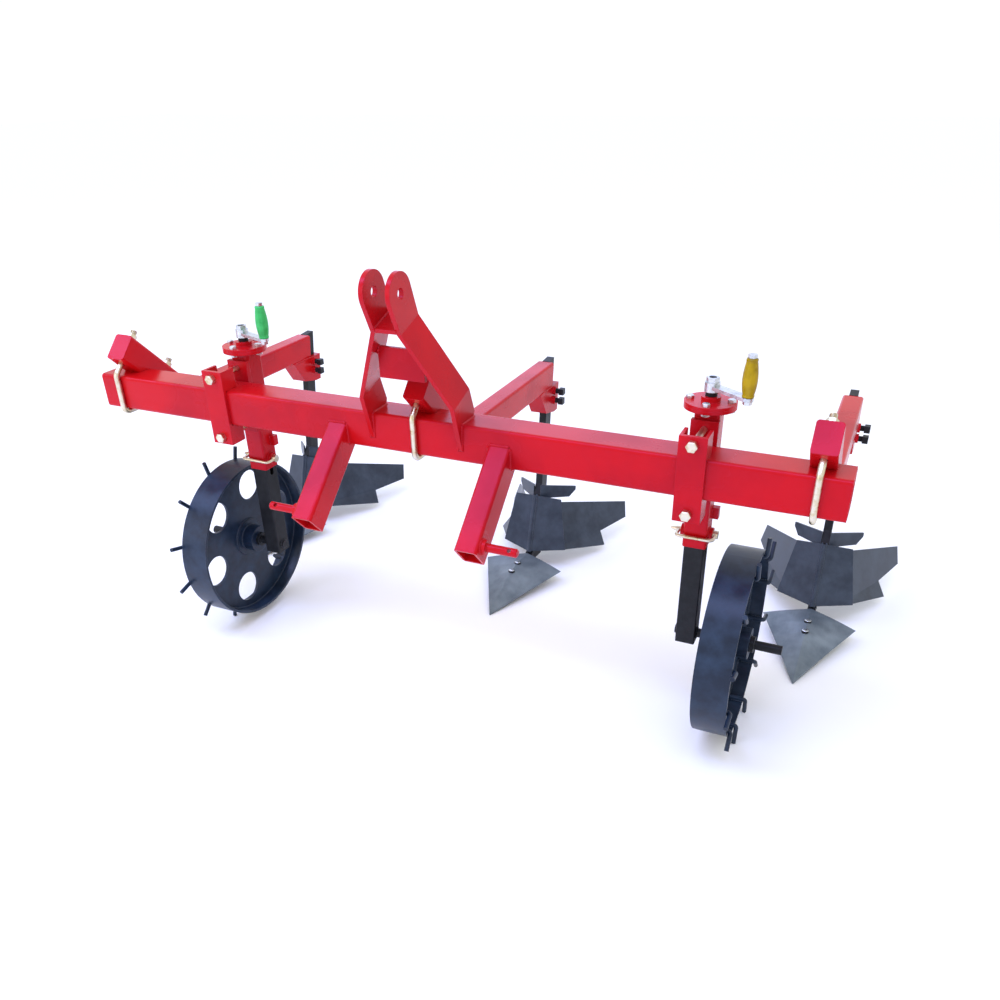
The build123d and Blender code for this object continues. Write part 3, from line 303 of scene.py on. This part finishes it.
# Gauge wheel columns: a square tube with a round flange and a bolted cap, held to the toolbar by
# a notched channel and two long bolts. Flange, bosses and rear plate are welded on and painted;
# the bolts are plated.
COLUMN_X = {"left": -632, "right": 717}
COLUMN_Y = 95
TUBE_HALF = 30
TUBE_CORNER = 6
FLANGE_FOOT = 125
REAR_PLATE_TOP = 105
REAR_PLATE_BACK = 65
REAR_WELD_X = 28
REAR_WELD_Y = REAR_PLATE_BACK + 1
REAR_WELD_TOP = REAR_PLATE_TOP - 8
LOCK_HEIGHT = -203
LOCK_BOSS = 17
CLAMP_HEAD_FRONT = -73
CLAMP_BOLT_HEIGHT = 85
CLAMP_ACROSS = 24
CAP_HEAD_TOP = 148
CAP_CIRCLE = 49
CAP_ACROSS = 17
HEAD_CROWN = ((-0.5, 0.5), (0, 0.47), (1.2, 0.43))  # height, and radius as a share of the width
SMOOTH_BELOW = radians(35)
cover(enamel, "clamp_front_left", "clamp_front_right", "jack_tube_left", "jack_tube_right",
      "jack_cap_left", "jack_cap_right")


def zinc(name, light, dark, tint, rough, blotch):
    """Electroplated zinc: a soft metal shine, cloudy passivation colours, dulled by handling."""
    finish, tree, shader, place = new_finish(name)
    cloud = add_node(tree, "ShaderNodeTexNoise", {
        "Vector": place, "Scale": 1 / blotch, "Detail": 5.0, "Roughness": 0.6})
    tone = add_node(tree, "ShaderNodeValToRGB", {"Fac": cloud.outputs["Fac"]})
    tone.color_ramp.elements[0].position = 0.3
    tone.color_ramp.elements[0].color = linear(dark)
    tone.color_ramp.elements[1].position = 0.7
    tone.color_ramp.elements[1].color = linear(tint)
    middle = tone.color_ramp.elements.new(0.52)
    middle.color = linear(light)
    tree.links.new(tone.outputs["Color"], shader.inputs["Base Color"])
    shader.inputs["Metallic"].default_value = 1.0
    handled = add_node(tree, "ShaderNodeMapRange", {
        "Value": cloud.outputs["Fac"], "From Min": 0.3, "From Max": 0.7,
        "To Min": rough - 0.08, "To Max": rough + 0.1})
    tree.links.new(handled.outputs["Result"], shader.inputs["Roughness"])
    round_edge = add_node(tree, "ShaderNodeBevel", {"Radius": 0.8 * MM}, samples=4)
    pits = add_node(tree, "ShaderNodeBump", {
        "Height": cloud.outputs["Fac"], "Strength": 0.2, "Distance": 0.15 * MM,
        "Normal": round_edge.outputs["Normal"]})
    tree.links.new(pits.outputs["Normal"], shader.inputs["Normal"])
    return finish


bright_zinc = zinc("bright_zinc_plate", light="#d3d6d8", dark="#aeb2b5", tint="#dddfe3",
                   rough=0.3, blotch=14 * MM)
pale_zinc = zinc("pale_yellow_zinc_plate", light="#ddd3ba", dark="#bda878", tint="#d8d0c4",
                 rough=0.32, blotch=18 * MM)
cover(bright_zinc, "cap_bolts")
cover(pale_zinc, "clamp_bolts", "lock_pins")


def turned(foot, axis, steps, sides=40):
    """A turned solid: a disc drawn out along an axis, each step a height and radius in mm."""
    bpy.ops.object.select_all(action="DESELECT")
    bpy.ops.mesh.primitive_circle_add(vertices=sides, radius=steps[0][1] * MM, fill_type="NGON",
                                      location=(0, 0, steps[0][0] * MM))
    bpy.ops.object.transform_apply(location=True, rotation=False, scale=False)
    bpy.ops.object.mode_set(mode="EDIT")
    bpy.ops.mesh.select_all(action="SELECT")
    for (low, before), (high, radius) in zip(steps, steps[1:]):
        rise = (0, 0, (high - low) * MM)
        bpy.ops.mesh.extrude_region_move(TRANSFORM_OT_translate={"value": rise})
        bpy.ops.transform.resize(value=(radius / before, radius / before, 1),
                                 center_override=(0, 0, high * MM))
    bpy.ops.mesh.select_all(action="SELECT")
    bpy.ops.mesh.normals_make_consistent(inside=False)
    bpy.ops.object.mode_set(mode="OBJECT")
    bpy.ops.object.shade_smooth_by_angle(angle=SMOOTH_BELOW)
    piece = bpy.context.object
    axis = Vector(axis).normalized()
    stand(piece, foot, axis.orthogonal().normalized(), axis)
    return piece


clamp_crown = turned(at(COLUMN_X["left"], CLAMP_HEAD_FRONT, CLAMP_BOLT_HEIGHT), (0, -1, 0),
                     [(height, share * CLAMP_ACROSS) for height, share in HEAD_CROWN])
dress(clamp_crown, "clamp_bolt_crown_left_top", "frame", pale_zinc)
cap_crown = turned(at(COLUMN_X["left"] - CAP_CIRCLE, COLUMN_Y, CAP_HEAD_TOP), (0, 0, 1),
                   [(height, share * CAP_ACROSS) for height, share in HEAD_CROWN])
dress(cap_crown, "cap_bolt_crown_left_0", "frame", bright_zinc)
column_step = Vector((COLUMN_X["right"] - COLUMN_X["left"], 0, 0)) * MM
drop = Vector((0, 0, -2 * CLAMP_BOLT_HEIGHT)) * MM
copy_to(clamp_crown, "clamp_bolt_crown_left_low", drop, "frame")
copy_to(clamp_crown, "clamp_bolt_crown_right_top", column_step, "frame")
copy_to(clamp_crown, "clamp_bolt_crown_right_low", column_step + drop, "frame")
for i, (step_x, step_y) in enumerate(((2, 0), (1, -1), (1, 1)), 1):
    round_cap = Vector((step_x, step_y, 0)) * CAP_CIRCLE * MM
    copy_to(cap_crown, f"cap_bolt_crown_left_{i}", round_cap, "frame")
    copy_to(cap_crown, f"cap_bolt_crown_right_{i}", round_cap + column_step, "frame")
copy_to(cap_crown, "cap_bolt_crown_right_0", column_step, "frame")

for hand, x in COLUMN_X.items():
    for place, side_x, side_y in (("left", -1, 0), ("right", 1, 0), ("front", 0, -1),
                                  ("rear", 0, 1)):
        seam_x, seam_y = x + side_x * TUBE_HALF, COLUMN_Y + side_y * TUBE_HALF
        reach_x = side_y * (TUBE_HALF - TUBE_CORNER)
        reach_y = side_x * (TUBE_HALF - TUBE_CORNER)
        weld(f"flange_weld_{hand}_{place}", "frame",
             at(seam_x - reach_x, seam_y - reach_y, FLANGE_FOOT),
             at(seam_x + reach_x, seam_y + reach_y, FLANGE_FOOT),
             (side_x, side_y, -1), MEDIUM_WELD)
    for place, out in HANDS.items():
        weld(f"rear_plate_weld_{hand}_{place}", "frame",
             at(x + out * REAR_WELD_X, REAR_WELD_Y, -REAR_WELD_TOP),
             at(x + out * REAR_WELD_X, REAR_WELD_Y, REAR_WELD_TOP), (out, 1, 0))
        ring_weld(f"lock_boss_weld_{hand}_{place}", "frame",
                  at(x + out * TUBE_HALF, COLUMN_Y, LOCK_HEIGHT),
                  (out, 0, 0), LOCK_BOSS, (out, 0, 0), FINE_WELD)

# Legs, axles and screws: mild steel tube and bar under a brushed-on coat of satin black paint.
# The axle is welded through the leg's foot, and the screw turns in a nut at the leg's top.
LEG_HALF = 25.7
AXLE_HEIGHT = -502
AXLE_WELD = 13.5
RUBBED_STEEL = "#7d8288"


def black_paint(name, body, thin, rough, fleck, gloss):
    """Brushed paint on hot-rolled steel: dark and even, greyer and duller where it is thin."""
    finish, tree, shader, place = new_finish(name)
    streak = add_node(tree, "ShaderNodeTexNoise", {
        "Vector": place, "Scale": 1 / fleck, "Detail": 6.0, "Roughness": 0.6})
    tone = add_node(tree, "ShaderNodeValToRGB", {"Fac": streak.outputs["Fac"]})
    tone.color_ramp.elements[0].position = 0.38
    tone.color_ramp.elements[0].color = linear(body)
    tone.color_ramp.elements[1].position = 0.78
    tone.color_ramp.elements[1].color = linear(thin)
    round_edge = add_node(tree, "ShaderNodeBevel", {"Radius": 1.2 * MM}, samples=4)
    flat = add_node(tree, "ShaderNodeNewGeometry")
    turned_away = add_node(tree, "ShaderNodeVectorMath", {
        0: round_edge.outputs["Normal"], 1: flat.outputs["Normal"]}, operation="DOT_PRODUCT")
    edge = add_node(tree, "ShaderNodeMapRange", {
        "Value": turned_away.outputs["Value"], "From Min": 0.985, "From Max": 0.8})
    rubbed = add_node(tree, "ShaderNodeMath", {
        0: edge.outputs["Result"], 1: streak.outputs["Fac"]}, operation="MULTIPLY")
    colour = add_node(tree, "ShaderNodeMix", {
        "Factor": rubbed.outputs["Value"], "A": tone.outputs["Color"], "B": linear(RUBBED_STEEL)},
        data_type="RGBA")
    tree.links.new(colour.outputs["Result"], shader.inputs["Base Color"])
    sheen = add_node(tree, "ShaderNodeMapRange", {
        "Value": streak.outputs["Fac"], "From Min": 0.3, "From Max": 0.7,
        "To Min": rough - 0.06, "To Max": rough + 0.08})
    tree.links.new(sheen.outputs["Result"], shader.inputs["Roughness"])
    grit = add_node(tree, "ShaderNodeBump", {
        "Height": streak.outputs["Fac"], "Strength": 0.22, "Distance": 0.3 * MM,
        "Normal": round_edge.outputs["Normal"]})
    tree.links.new(grit.outputs["Normal"], shader.inputs["Normal"])
    shader.inputs["Specular IOR Level"].default_value = gloss
    return finish


satin_black = black_paint("satin_black_paint", body="#101114", thin="#212327", rough=0.42,
                          fleck=22 * MM, gloss=0.24)
for hand, x in COLUMN_X.items():
    cover(satin_black, f"leg_{hand}", f"axle_{hand}", f"screw_{hand}")
    for place, out in HANDS.items():
        ring_weld(f"axle_weld_{hand}_{place}", f"leg_{hand}",
                  at(x + out * LEG_HALF, COLUMN_Y, AXLE_HEIGHT), (out, 0, 0), AXLE_WELD,
                  (out, 0, 0), LIGHT_WELD, satin_black)

# Cranks and grips: pressed arms on the screws' ends, plated bright, each with a turning grip.
# The grips are moulded, barrel shaped and fluted for the fingers, with a collar at each end and
# a bore for the bolt.
FLUTES = 12
FLUTE_SIDES = 4
GRIP_SIDES = FLUTES * FLUTE_SIDES
FLUTE_FROM = 10
FLUTE_TO = 76
FLUTE_PRESS = 0.96
GRIP_BORE = 6.5
GRIP_PROFILE = ((0, 11.4), (1.2, 13.4), (4.5, 13.8), (6, 13.0), (8, 13.4), (18, 15.4), (30, 16.8),
                (42, 17.2), (56, 16.4), (68, 14.8), (78, 13.2), (81, 12.6), (82.5, 13.2),
                (86.2, 13.0), (88, 11.2), (88, GRIP_BORE), (0, GRIP_BORE))
PLASTIC_FLOW = 26 * MM
GRIP_PLASTIC = {"left": ("green_polypropylene", "#41b862", "#329f50", "green_plastic"),
                "right": ("yellow_polypropylene", "#ad8e04", "#8d7302", "yellow_plastic")}
cover(bright_zinc, "crank_left", "crank_right")


def moulded_plastic(name, body, shade):
    """Injection-moulded polypropylene: even colour and soft gloss, clouded by its slow flow."""
    finish, tree, shader, place = new_finish(name)
    flow = add_node(tree, "ShaderNodeTexNoise", {
        "Vector": place, "Scale": 1 / PLASTIC_FLOW, "Detail": 3.0})
    tone = add_node(tree, "ShaderNodeValToRGB", {"Fac": flow.outputs["Fac"]})
    tone.color_ramp.elements[0].position = 0.35
    tone.color_ramp.elements[0].color = linear(shade)
    tone.color_ramp.elements[1].position = 0.65
    tone.color_ramp.elements[1].color = linear(body)
    tree.links.new(tone.outputs["Color"], shader.inputs["Base Color"])
    touched = add_node(tree, "ShaderNodeMapRange", {
        "Value": flow.outputs["Fac"], "From Min": 0.3, "From Max": 0.7,
        "To Min": 0.24, "To Max": 0.36})
    tree.links.new(touched.outputs["Result"], shader.inputs["Roughness"])
    shader.inputs["IOR"].default_value = 1.49
    shader.inputs["Specular IOR Level"].default_value = 0.22
    return finish


for hand, (name, body, shade, slot) in GRIP_PLASTIC.items():
    plastic = moulded_plastic(name, body, shade)
    cover(plastic, f"grip_{hand}")
    low, high = (Vector(corner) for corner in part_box(f"grip_{hand}"))
    foot = Vector(((low.x + high.x) / 2, (low.y + high.y) / 2, low.z))
    grip = turned(foot, (0, 0, 1), GRIP_PROFILE, GRIP_SIDES)
    bpy.ops.object.mode_set(mode="EDIT")
    bpy.ops.mesh.select_mode(type="FACE")
    bpy.ops.mesh.select_all(action="DESELECT")
    bpy.ops.object.mode_set(mode="OBJECT")
    for face in grip.data.polygons:
        face.select = len(face.vertices) == GRIP_SIDES
    bpy.ops.object.mode_set(mode="EDIT")
    bpy.ops.mesh.bridge_edge_loops()
    bpy.ops.mesh.select_all(action="SELECT")
    bpy.ops.mesh.normals_make_consistent(inside=False)
    bpy.ops.mesh.select_mode(type="VERT")
    bpy.ops.mesh.select_all(action="DESELECT")
    bpy.ops.object.mode_set(mode="OBJECT")
    bpy.ops.object.shade_smooth_by_angle(angle=SMOOTH_BELOW)
    for corner in grip.data.vertices:
        turn = (corner.co - foot).to_2d().angle_signed(Vector((1, 0)), 0) / (2 * pi)
        height = (corner.co.z - foot.z) / MM
        on_flute = round(turn * GRIP_SIDES) % FLUTE_SIDES == 0
        corner.select = on_flute and FLUTE_FROM < height < FLUTE_TO
    bpy.ops.object.mode_set(mode="EDIT")
    bpy.ops.transform.resize(value=(FLUTE_PRESS, FLUTE_PRESS, 1), center_override=foot)
    bpy.ops.object.mode_set(mode="OBJECT")
    dress(grip, f"fluted_grip_{hand}", f"grip_{hand}", plastic)
    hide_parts(f"grip_{hand}")

# Wheels: a rolled flat rim, a disc pierced by six round windows and a turned hub, welded together.
# Twelve bent rod pegs are welded inside the outer edge of the rim, and all is painted blue-black.
WHEEL_X = {"left": -750, "right": 835}
HUB_FLANGE = 59
HUB_FLANGE_FACE = 11
HUB_RADIUS = 42
RIM_BORE = 243
DISC_FACE = 4
PEG_COUNT = 12
PEG_RADIUS = 6
PEG_WELD_OUT = 4
PEG_WELD_FROM = 12
PEG_WELD_TO = 42
blue_black = black_paint("blue_black_paint", body="#131f30", thin="#26374c", rough=0.36,
                         fleck=50 * MM, gloss=0.3)
for hand, x in WHEEL_X.items():
    cover(blue_black, f"wheel_{hand}", f"pegs_{hand}")
    body = f"wheel_{hand}"
    out = HANDS[hand]
    for place, side in (("inner", -out), ("outer", out)):
        disc_face = at(x + side * DISC_FACE, COLUMN_Y, AXLE_HEIGHT)
        flange_face = at(x + side * HUB_FLANGE_FACE, COLUMN_Y, AXLE_HEIGHT)
        for seam, centre, radius, width in (("rim", disc_face, RIM_BORE, FULL_WELD),
                                            ("hub", disc_face, HUB_FLANGE, FULL_WELD),
                                            ("hub_collar", flange_face, HUB_RADIUS, LIGHT_WELD)):
            ring_weld(f"{seam}_weld_{hand}_{place}", body, centre, (1, 0, 0), radius,
                      (side, 0, 0), width, blue_black)
    for place, lean in (("ahead", -1), ("behind", 1)):
        swing = radians(180 / PEG_COUNT)
        outward = Vector((0, cos(swing), sin(swing)))
        sideways = lean * Vector((0, -sin(swing), cos(swing)))
        foot = (RIM_BORE - PEG_RADIUS) * outward + PEG_RADIUS * sideways + PEG_WELD_OUT * outward
        weld(f"peg_weld_{hand}_{place}", body,
             at(x + out * PEG_WELD_FROM, COLUMN_Y + foot.y, AXLE_HEIGHT + foot.z),
             at(x + out * PEG_WELD_TO, COLUMN_Y + foot.y, AXLE_HEIGHT + foot.z),
             sideways - outward, FINE_WELD, blue_black)
        bpy.ops.object.mode_set(mode="EDIT")
        bpy.ops.mesh.select_all(action="SELECT")
        bpy.ops.mesh.spin(steps=PEG_COUNT - 1, dupli=True,
                          angle=2 * pi * (PEG_COUNT - 1) / PEG_COUNT,
                          center=at(x, COLUMN_Y, AXLE_HEIGHT), axis=(1, 0, 0))
        bpy.ops.object.mode_set(mode="OBJECT")

# Row units: mitred rectangular tubes saddled over the toolbar's upper rear corner, each drawn down
# by a V-bolt. The mitre is welded all round and painted; the V-bolt is bent from plated rod with
# rolled threads at its ends.
ROWS = {"left": -994, "middle": 0, "right": 994}
ARM_HALF = 30
ARM_CORNER = 8
MITRE_TOP = (216.6, -53)
MITRE_LOW = (183.5, -133)
MITRE_OUT = Vector((0, 0.4, 0.9))
MITRE_CORNER = 0.09  # of the mitre's height
STUD_FROM = 132
STUD_TO = 144
STUD_OFF = 80.0
STUD_RADIUS = 8
STUD_PITCH = 2.5
RIB_SIZE = 0.55  # of the pitch
RIB_STEPS = 16


def thread(foot, axis, radius, length, pitch):
    """A rolled thread: a three-sided rib wound up a bolt, its ends closed."""
    bpy.ops.object.select_all(action="DESELECT")
    bpy.ops.mesh.primitive_circle_add(vertices=3, radius=RIB_SIZE * pitch * MM,
                                      fill_type="NOTHING", location=(radius * MM, 0, 0),
                                      rotation=(pi / 2, 0, 0))
    bpy.ops.object.transform_apply(location=True, rotation=True, scale=True)
    rib = bpy.context.object
    wind = rib.modifiers.new("wind", "SCREW")
    wind.axis = "Z"
    wind.screw_offset = pitch * MM
    wind.iterations = round(length / pitch)
    wind.steps = RIB_STEPS
    wind.render_steps = RIB_STEPS
    bpy.ops.object.modifier_apply(modifier="wind")
    bpy.ops.object.mode_set(mode="EDIT")
    bpy.ops.mesh.select_all(action="DESELECT")
    bpy.ops.mesh.select_mode(type="EDGE")
    bpy.ops.mesh.select_non_manifold()
    bpy.ops.mesh.fill_holes(sides=3)
    bpy.ops.mesh.select_mode(type="VERT")
    bpy.ops.mesh.select_all(action="SELECT")
    bpy.ops.mesh.normals_make_consistent(inside=False)
    bpy.ops.object.mode_set(mode="OBJECT")
    axis = Vector(axis).normalized()
    stand(rib, foot, axis.orthogonal().normalized(), axis)
    return rib


for hand in ROWS:
    cover(enamel, f"arm_{hand}", f"holder_{hand}")
    cover(pale_zinc, f"v_bolt_{hand}")
seam_half = ARM_HALF - ARM_CORNER
unit_pieces = [
    weld("mitre_top_weld_middle", "unit_middle", at(-seam_half, *MITRE_TOP),
         at(seam_half, *MITRE_TOP), MITRE_OUT),
    weld("mitre_low_weld_middle", "unit_middle", at(-seam_half, *MITRE_LOW),
         at(seam_half, *MITRE_LOW), -MITRE_OUT, LIGHT_WELD)]
for place, out in HANDS.items():
    top, low = at(out * ARM_HALF, *MITRE_TOP), at(out * ARM_HALF, *MITRE_LOW)
    unit_pieces.append(weld(f"mitre_{place}_weld_middle", "unit_middle",
                            top.lerp(low, MITRE_CORNER), low.lerp(top, MITRE_CORNER),
                            (out, 0, 0), LIGHT_WELD))
for place, off in (("front", -STUD_OFF), ("rear", STUD_OFF)):
    stud = thread(at(0, (STUD_FROM + off) / sqrt(2), (STUD_FROM - off) / sqrt(2)), (0, 1, 1),
                  STUD_RADIUS, STUD_TO - STUD_FROM, STUD_PITCH)
    dress(stud, f"stud_{place}_thread_middle", "unit_middle", pale_zinc)
    unit_pieces.append(stud)

# Shank holders: boxes folded and welded under the arms' ends, each gripping a shank with two
# square-headed bolts. Holders are painted with the arms; bolts and shanks are black, the shanks
# cut from hot-rolled flat bar.
HOLDER_SEAM = 27.5
HOLDER_SEAM_HALF = 23.5
HOLDER_FRONT = 737.5
HOLDER_SIDE_FROM = 741.5
HOLDER_REAR = 838
ARM_LOW = -133
SET_THREAD_FROM = 36.5
SET_THREAD_TO = 48
SET_RADIUS = 8
SET_HEAD_HALF = 10.5
SHANK_LEAN = 0.1405
for hand in ROWS:
    cover(satin_black, f"set_bolts_{hand}", f"shank_{hand}")
unit_pieces.append(weld("holder_front_weld_middle", "unit_middle",
                        at(-HOLDER_SEAM_HALF, HOLDER_FRONT, ARM_LOW),
                        at(HOLDER_SEAM_HALF, HOLDER_FRONT, ARM_LOW), (0, -1, -1), MEDIUM_WELD))
for place, out in HANDS.items():
    unit_pieces.append(weld(f"holder_{place}_weld_middle", "unit_middle",
                            at(out * HOLDER_SEAM, HOLDER_SIDE_FROM, ARM_LOW),
                            at(out * HOLDER_SEAM, HOLDER_REAR, ARM_LOW), (out, 0, -0.6),
                            MEDIUM_WELD))
set_low, set_high = (Vector(corner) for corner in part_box("set_bolts_middle"))
set_middle = (set_low + set_high) / 2
for place, z in (("low", set_low.z + SET_HEAD_HALF * MM),
                 ("high", set_high.z - SET_HEAD_HALF * MM)):
    y = set_middle.y + (z - set_middle.z) * SHANK_LEAN
    rib = thread(Vector((SET_THREAD_FROM * MM, y, z)), (1, 0, 0), SET_RADIUS,
                 SET_THREAD_TO - SET_THREAD_FROM, STUD_PITCH)
    dress(rib, f"set_bolt_{place}_thread_middle", "unit_middle", satin_black)
    unit_pieces.append(rib)
for piece in unit_pieces:
    for hand in HANDS:
        copy_to(piece, piece.name.replace("middle", hand), Vector((ROWS[hand], 0, 0)) * MM,
                f"unit_{hand}")

# Ridging bodies: breast and wings cut and folded from plate and painted slate blue, welded to the
# shank's frog. The share is a bare forged blade, bent along its crest, held by two black plough
# bolts ground bright on top.
TOOL_SEAT = (862, -158.2)
TOOL_LEAN = radians(8)
SHARE_BOLTS = {"rear": (-189.0, -575.0), "front": (-242.0, -587.0)}
SHARE_HEAD_PROUD = 1.5
SHARE_HEAD = ((-0.8, 10.8), (0, 10.4), (1.0, 9.4), (1.9, 7.0), (2.4, 3.5), (2.5, 1.0))
SHARE_DARK = "#59646d"
SHARE_PALE = "#7a858c"
FORGE_SCALE = 65 * MM
GRINDING = 3 * MM  # coarser than real grinding lines, so that they show
RIDGE_TOP = (-52.5, -363.0)
RIDGE_FOOT = (-87.5, -566.0)
NOSE_SIDE = 6
SHANK_SIDE = 12.5
STRAP_HALF = 8
STRAP_HEIGHT = -500
slate = black_paint("slate_blue_paint", body="#252e3b", thin="#3f4956", rough=0.34,
                    fleck=70 * MM, gloss=0.32)
for hand in ROWS:
    cover(slate, f"breast_{hand}", f"wings_{hand}")


def forged_steel():
    """Forged and ground carbon steel: blue-grey scale with fine lines that run down the blade."""
    finish, tree, shader, place = new_finish("forged_share_steel")
    scale = add_node(tree, "ShaderNodeTexNoise", {
        "Vector": place, "Scale": 1 / FORGE_SCALE, "Detail": 5.0})
    tone = add_node(tree, "ShaderNodeValToRGB", {"Fac": scale.outputs["Fac"]})
    tone.color_ramp.elements[0].position = 0.32
    tone.color_ramp.elements[0].color = linear(SHARE_DARK)
    tone.color_ramp.elements[1].position = 0.7
    tone.color_ramp.elements[1].color = linear(SHARE_PALE)
    tree.links.new(tone.outputs["Color"], shader.inputs["Base Color"])
    drawn = add_node(tree, "ShaderNodeMapping", {"Vector": place, "Scale": (1.0, 0.06, 0.3)})
    lines = add_node(tree, "ShaderNodeTexNoise", {
        "Vector": drawn.outputs["Vector"], "Scale": 1 / GRINDING, "Detail": 3.0})
    ground = add_node(tree, "ShaderNodeMapRange", {
        "Value": lines.outputs["Fac"], "From Min": 0.3, "From Max": 0.7,
        "To Min": 0.36, "To Max": 0.52})
    tree.links.new(ground.outputs["Result"], shader.inputs["Roughness"])
    round_edge = add_node(tree, "ShaderNodeBevel", {"Radius": 1.2 * MM}, samples=4)
    marks = add_node(tree, "ShaderNodeBump", {
        "Height": lines.outputs["Fac"], "Strength": 0.25, "Distance": 0.1 * MM,
        "Normal": round_edge.outputs["Normal"]})
    tree.links.new(marks.outputs["Normal"], shader.inputs["Normal"])
    shader.inputs["Metallic"].default_value = 0.4
    return finish


forged = forged_steel()
for hand in ROWS:
    cover(forged, f"share_{hand}")
    cover(satin_black, f"share_bolts_{hand}")


def in_tool(x, y, z):
    """A place in millimetres in the middle body's own frame, which leans with its shank."""
    return at(x, TOOL_SEAT[0] + y * cos(TOOL_LEAN) + z * sin(TOOL_LEAN),
              TOOL_SEAT[1] - y * sin(TOOL_LEAN) + z * cos(TOOL_LEAN))


tool_pieces = []
for place, (y, z) in SHARE_BOLTS.items():
    dome = turned(in_tool(0, y, z + SHARE_HEAD_PROUD), (0, sin(TOOL_LEAN), cos(TOOL_LEAN)),
                  SHARE_HEAD)
    dress(dome, f"share_bolt_dome_{place}_middle", "tool_middle", bright_zinc)
    tool_pieces.append(dome)
for place, out in HANDS.items():
    tool_pieces.append(weld(f"nose_{place}_weld_middle", "tool_middle",
                            in_tool(out * NOSE_SIDE, *RIDGE_FOOT),
                            in_tool(out * NOSE_SIDE, *RIDGE_TOP), (0.6 * out, -1, 0.2),
                            LIGHT_WELD, slate))
    for side, up in (("top", 1), ("low", -1)):
        height = STRAP_HEIGHT + up * STRAP_HALF
        tool_pieces.append(weld(f"strap_{side}_{place}_weld_middle", "tool_middle",
                                in_tool(out * SHANK_SIDE, -STRAP_HALF, height),
                                in_tool(out * SHANK_SIDE, STRAP_HALF, height), (out, 0, up),
                                LIGHT_WELD, slate))
for piece in tool_pieces:
    for hand in HANDS:
        copy_to(piece, piece.name.replace("middle", hand), Vector((ROWS[hand], 0, 0)) * MM,
                f"tool_{hand}")

# Studio: a plain pale paper floor under even white light, with soft boxes above, before and behind.
# The boxes above and behind are blue and the front one is warm, so that upward faces take the cool
# sheen of an open sky.
FLOOR_SIZE = 60
bpy.ops.object.select_all(action="DESELECT")
bpy.ops.mesh.primitive_plane_add(size=FLOOR_SIZE, location=(0, 0, 0))
floor = bpy.context.object
floor.name = "studio_floor"
paper = bpy.data.materials.new("pale_paper")
paper.use_nodes = True
paper_shader = paper.node_tree.nodes["Principled BSDF"]
paper_shader.inputs["Base Color"].default_value = linear("#fcfcfb")
paper_shader.inputs["Roughness"].default_value = 0.95
paper_shader.inputs["Specular IOR Level"].default_value = 0.1
floor.data.materials.append(paper)

sky = bpy.data.worlds.new("studio")
sky.use_nodes = True
sky.node_tree.nodes["Background"].inputs["Color"].default_value = linear("#f7f9fc")
sky.node_tree.nodes["Background"].inputs["Strength"].default_value = 1.1
bpy.context.scene.world = sky
bpy.context.scene.view_settings.view_transform = "Standard"


def soft_light(name, place, target, width, height, power, colour):
    """A soft box aimed at a place on the object."""
    lamp = bpy.data.lights.new(name, "AREA")
    lamp.shape = "RECTANGLE"
    lamp.size = width
    lamp.size_y = height
    lamp.energy = power
    lamp.color = linear(colour)[:3]
    box = bpy.data.objects.new(name, lamp)
    bpy.context.scene.collection.objects.link(box)
    aim = (Vector(target) - Vector(place)).to_track_quat("-Z", "Y")
    box.matrix_world = Matrix.Translation(place) @ aim.to_matrix().to_4x4()


soft_light("overhead", place=(-1.6, -2.0, 4.4), target=(-1.6, -2.0, 0), width=7.0, height=1.3,
           power=240, colour="#a3b6ff")
soft_light("front_left", place=(-2.6, -4.2, 2.2), target=(0, 0, 0.5), width=2.4, height=2.4,
           power=35, colour="#fff0e6")
soft_light("behind", place=(-2.2, 5.0, 3.4), target=(0, -0.2, 0.6), width=4.5, height=4.5,
           power=60, colour="#8fa8ff")

# Camera: at the photograph's place, tilt and focal length, in the part's own frame.
# The lens shift puts the optical axis where the photograph has it.
CAMERA_PLACE = (1.1047, -2.3550, 1.6095)
CAMERA_YAW = radians(24.628)
CAMERA_PITCH = radians(30.425)
CAMERA_ROLL = radians(-1.155)
SENSOR = 36.0
IMAGE_PIXELS = 1000
FOCAL_PIXELS = 885.27
AXIS_PIXEL = (506.1, 582.6)
ahead = Vector((-sin(CAMERA_YAW) * cos(CAMERA_PITCH), cos(CAMERA_YAW) * cos(CAMERA_PITCH),
                -sin(CAMERA_PITCH)))
level_right = Vector((cos(CAMERA_YAW), sin(CAMERA_YAW), 0))
level_up = level_right.cross(ahead)
right = cos(CAMERA_ROLL) * level_right + sin(CAMERA_ROLL) * level_up
up = cos(CAMERA_ROLL) * level_up - sin(CAMERA_ROLL) * level_right
lens = bpy.data.cameras.new("photo_camera")
lens.sensor_width = SENSOR
lens.lens = SENSOR * FOCAL_PIXELS / IMAGE_PIXELS
lens.shift_x = 0.5 - AXIS_PIXEL[0] / IMAGE_PIXELS
lens.shift_y = AXIS_PIXEL[1] / IMAGE_PIXELS - 0.5
camera = bpy.data.objects.new("photo_camera", lens)
bpy.context.scene.collection.objects.link(camera)
turn = Matrix((right, up, -ahead)).transposed().to_4x4()
camera.matrix_world = Matrix.Translation(CAMERA_PLACE) @ turn
bpy.context.scene.camera = camera
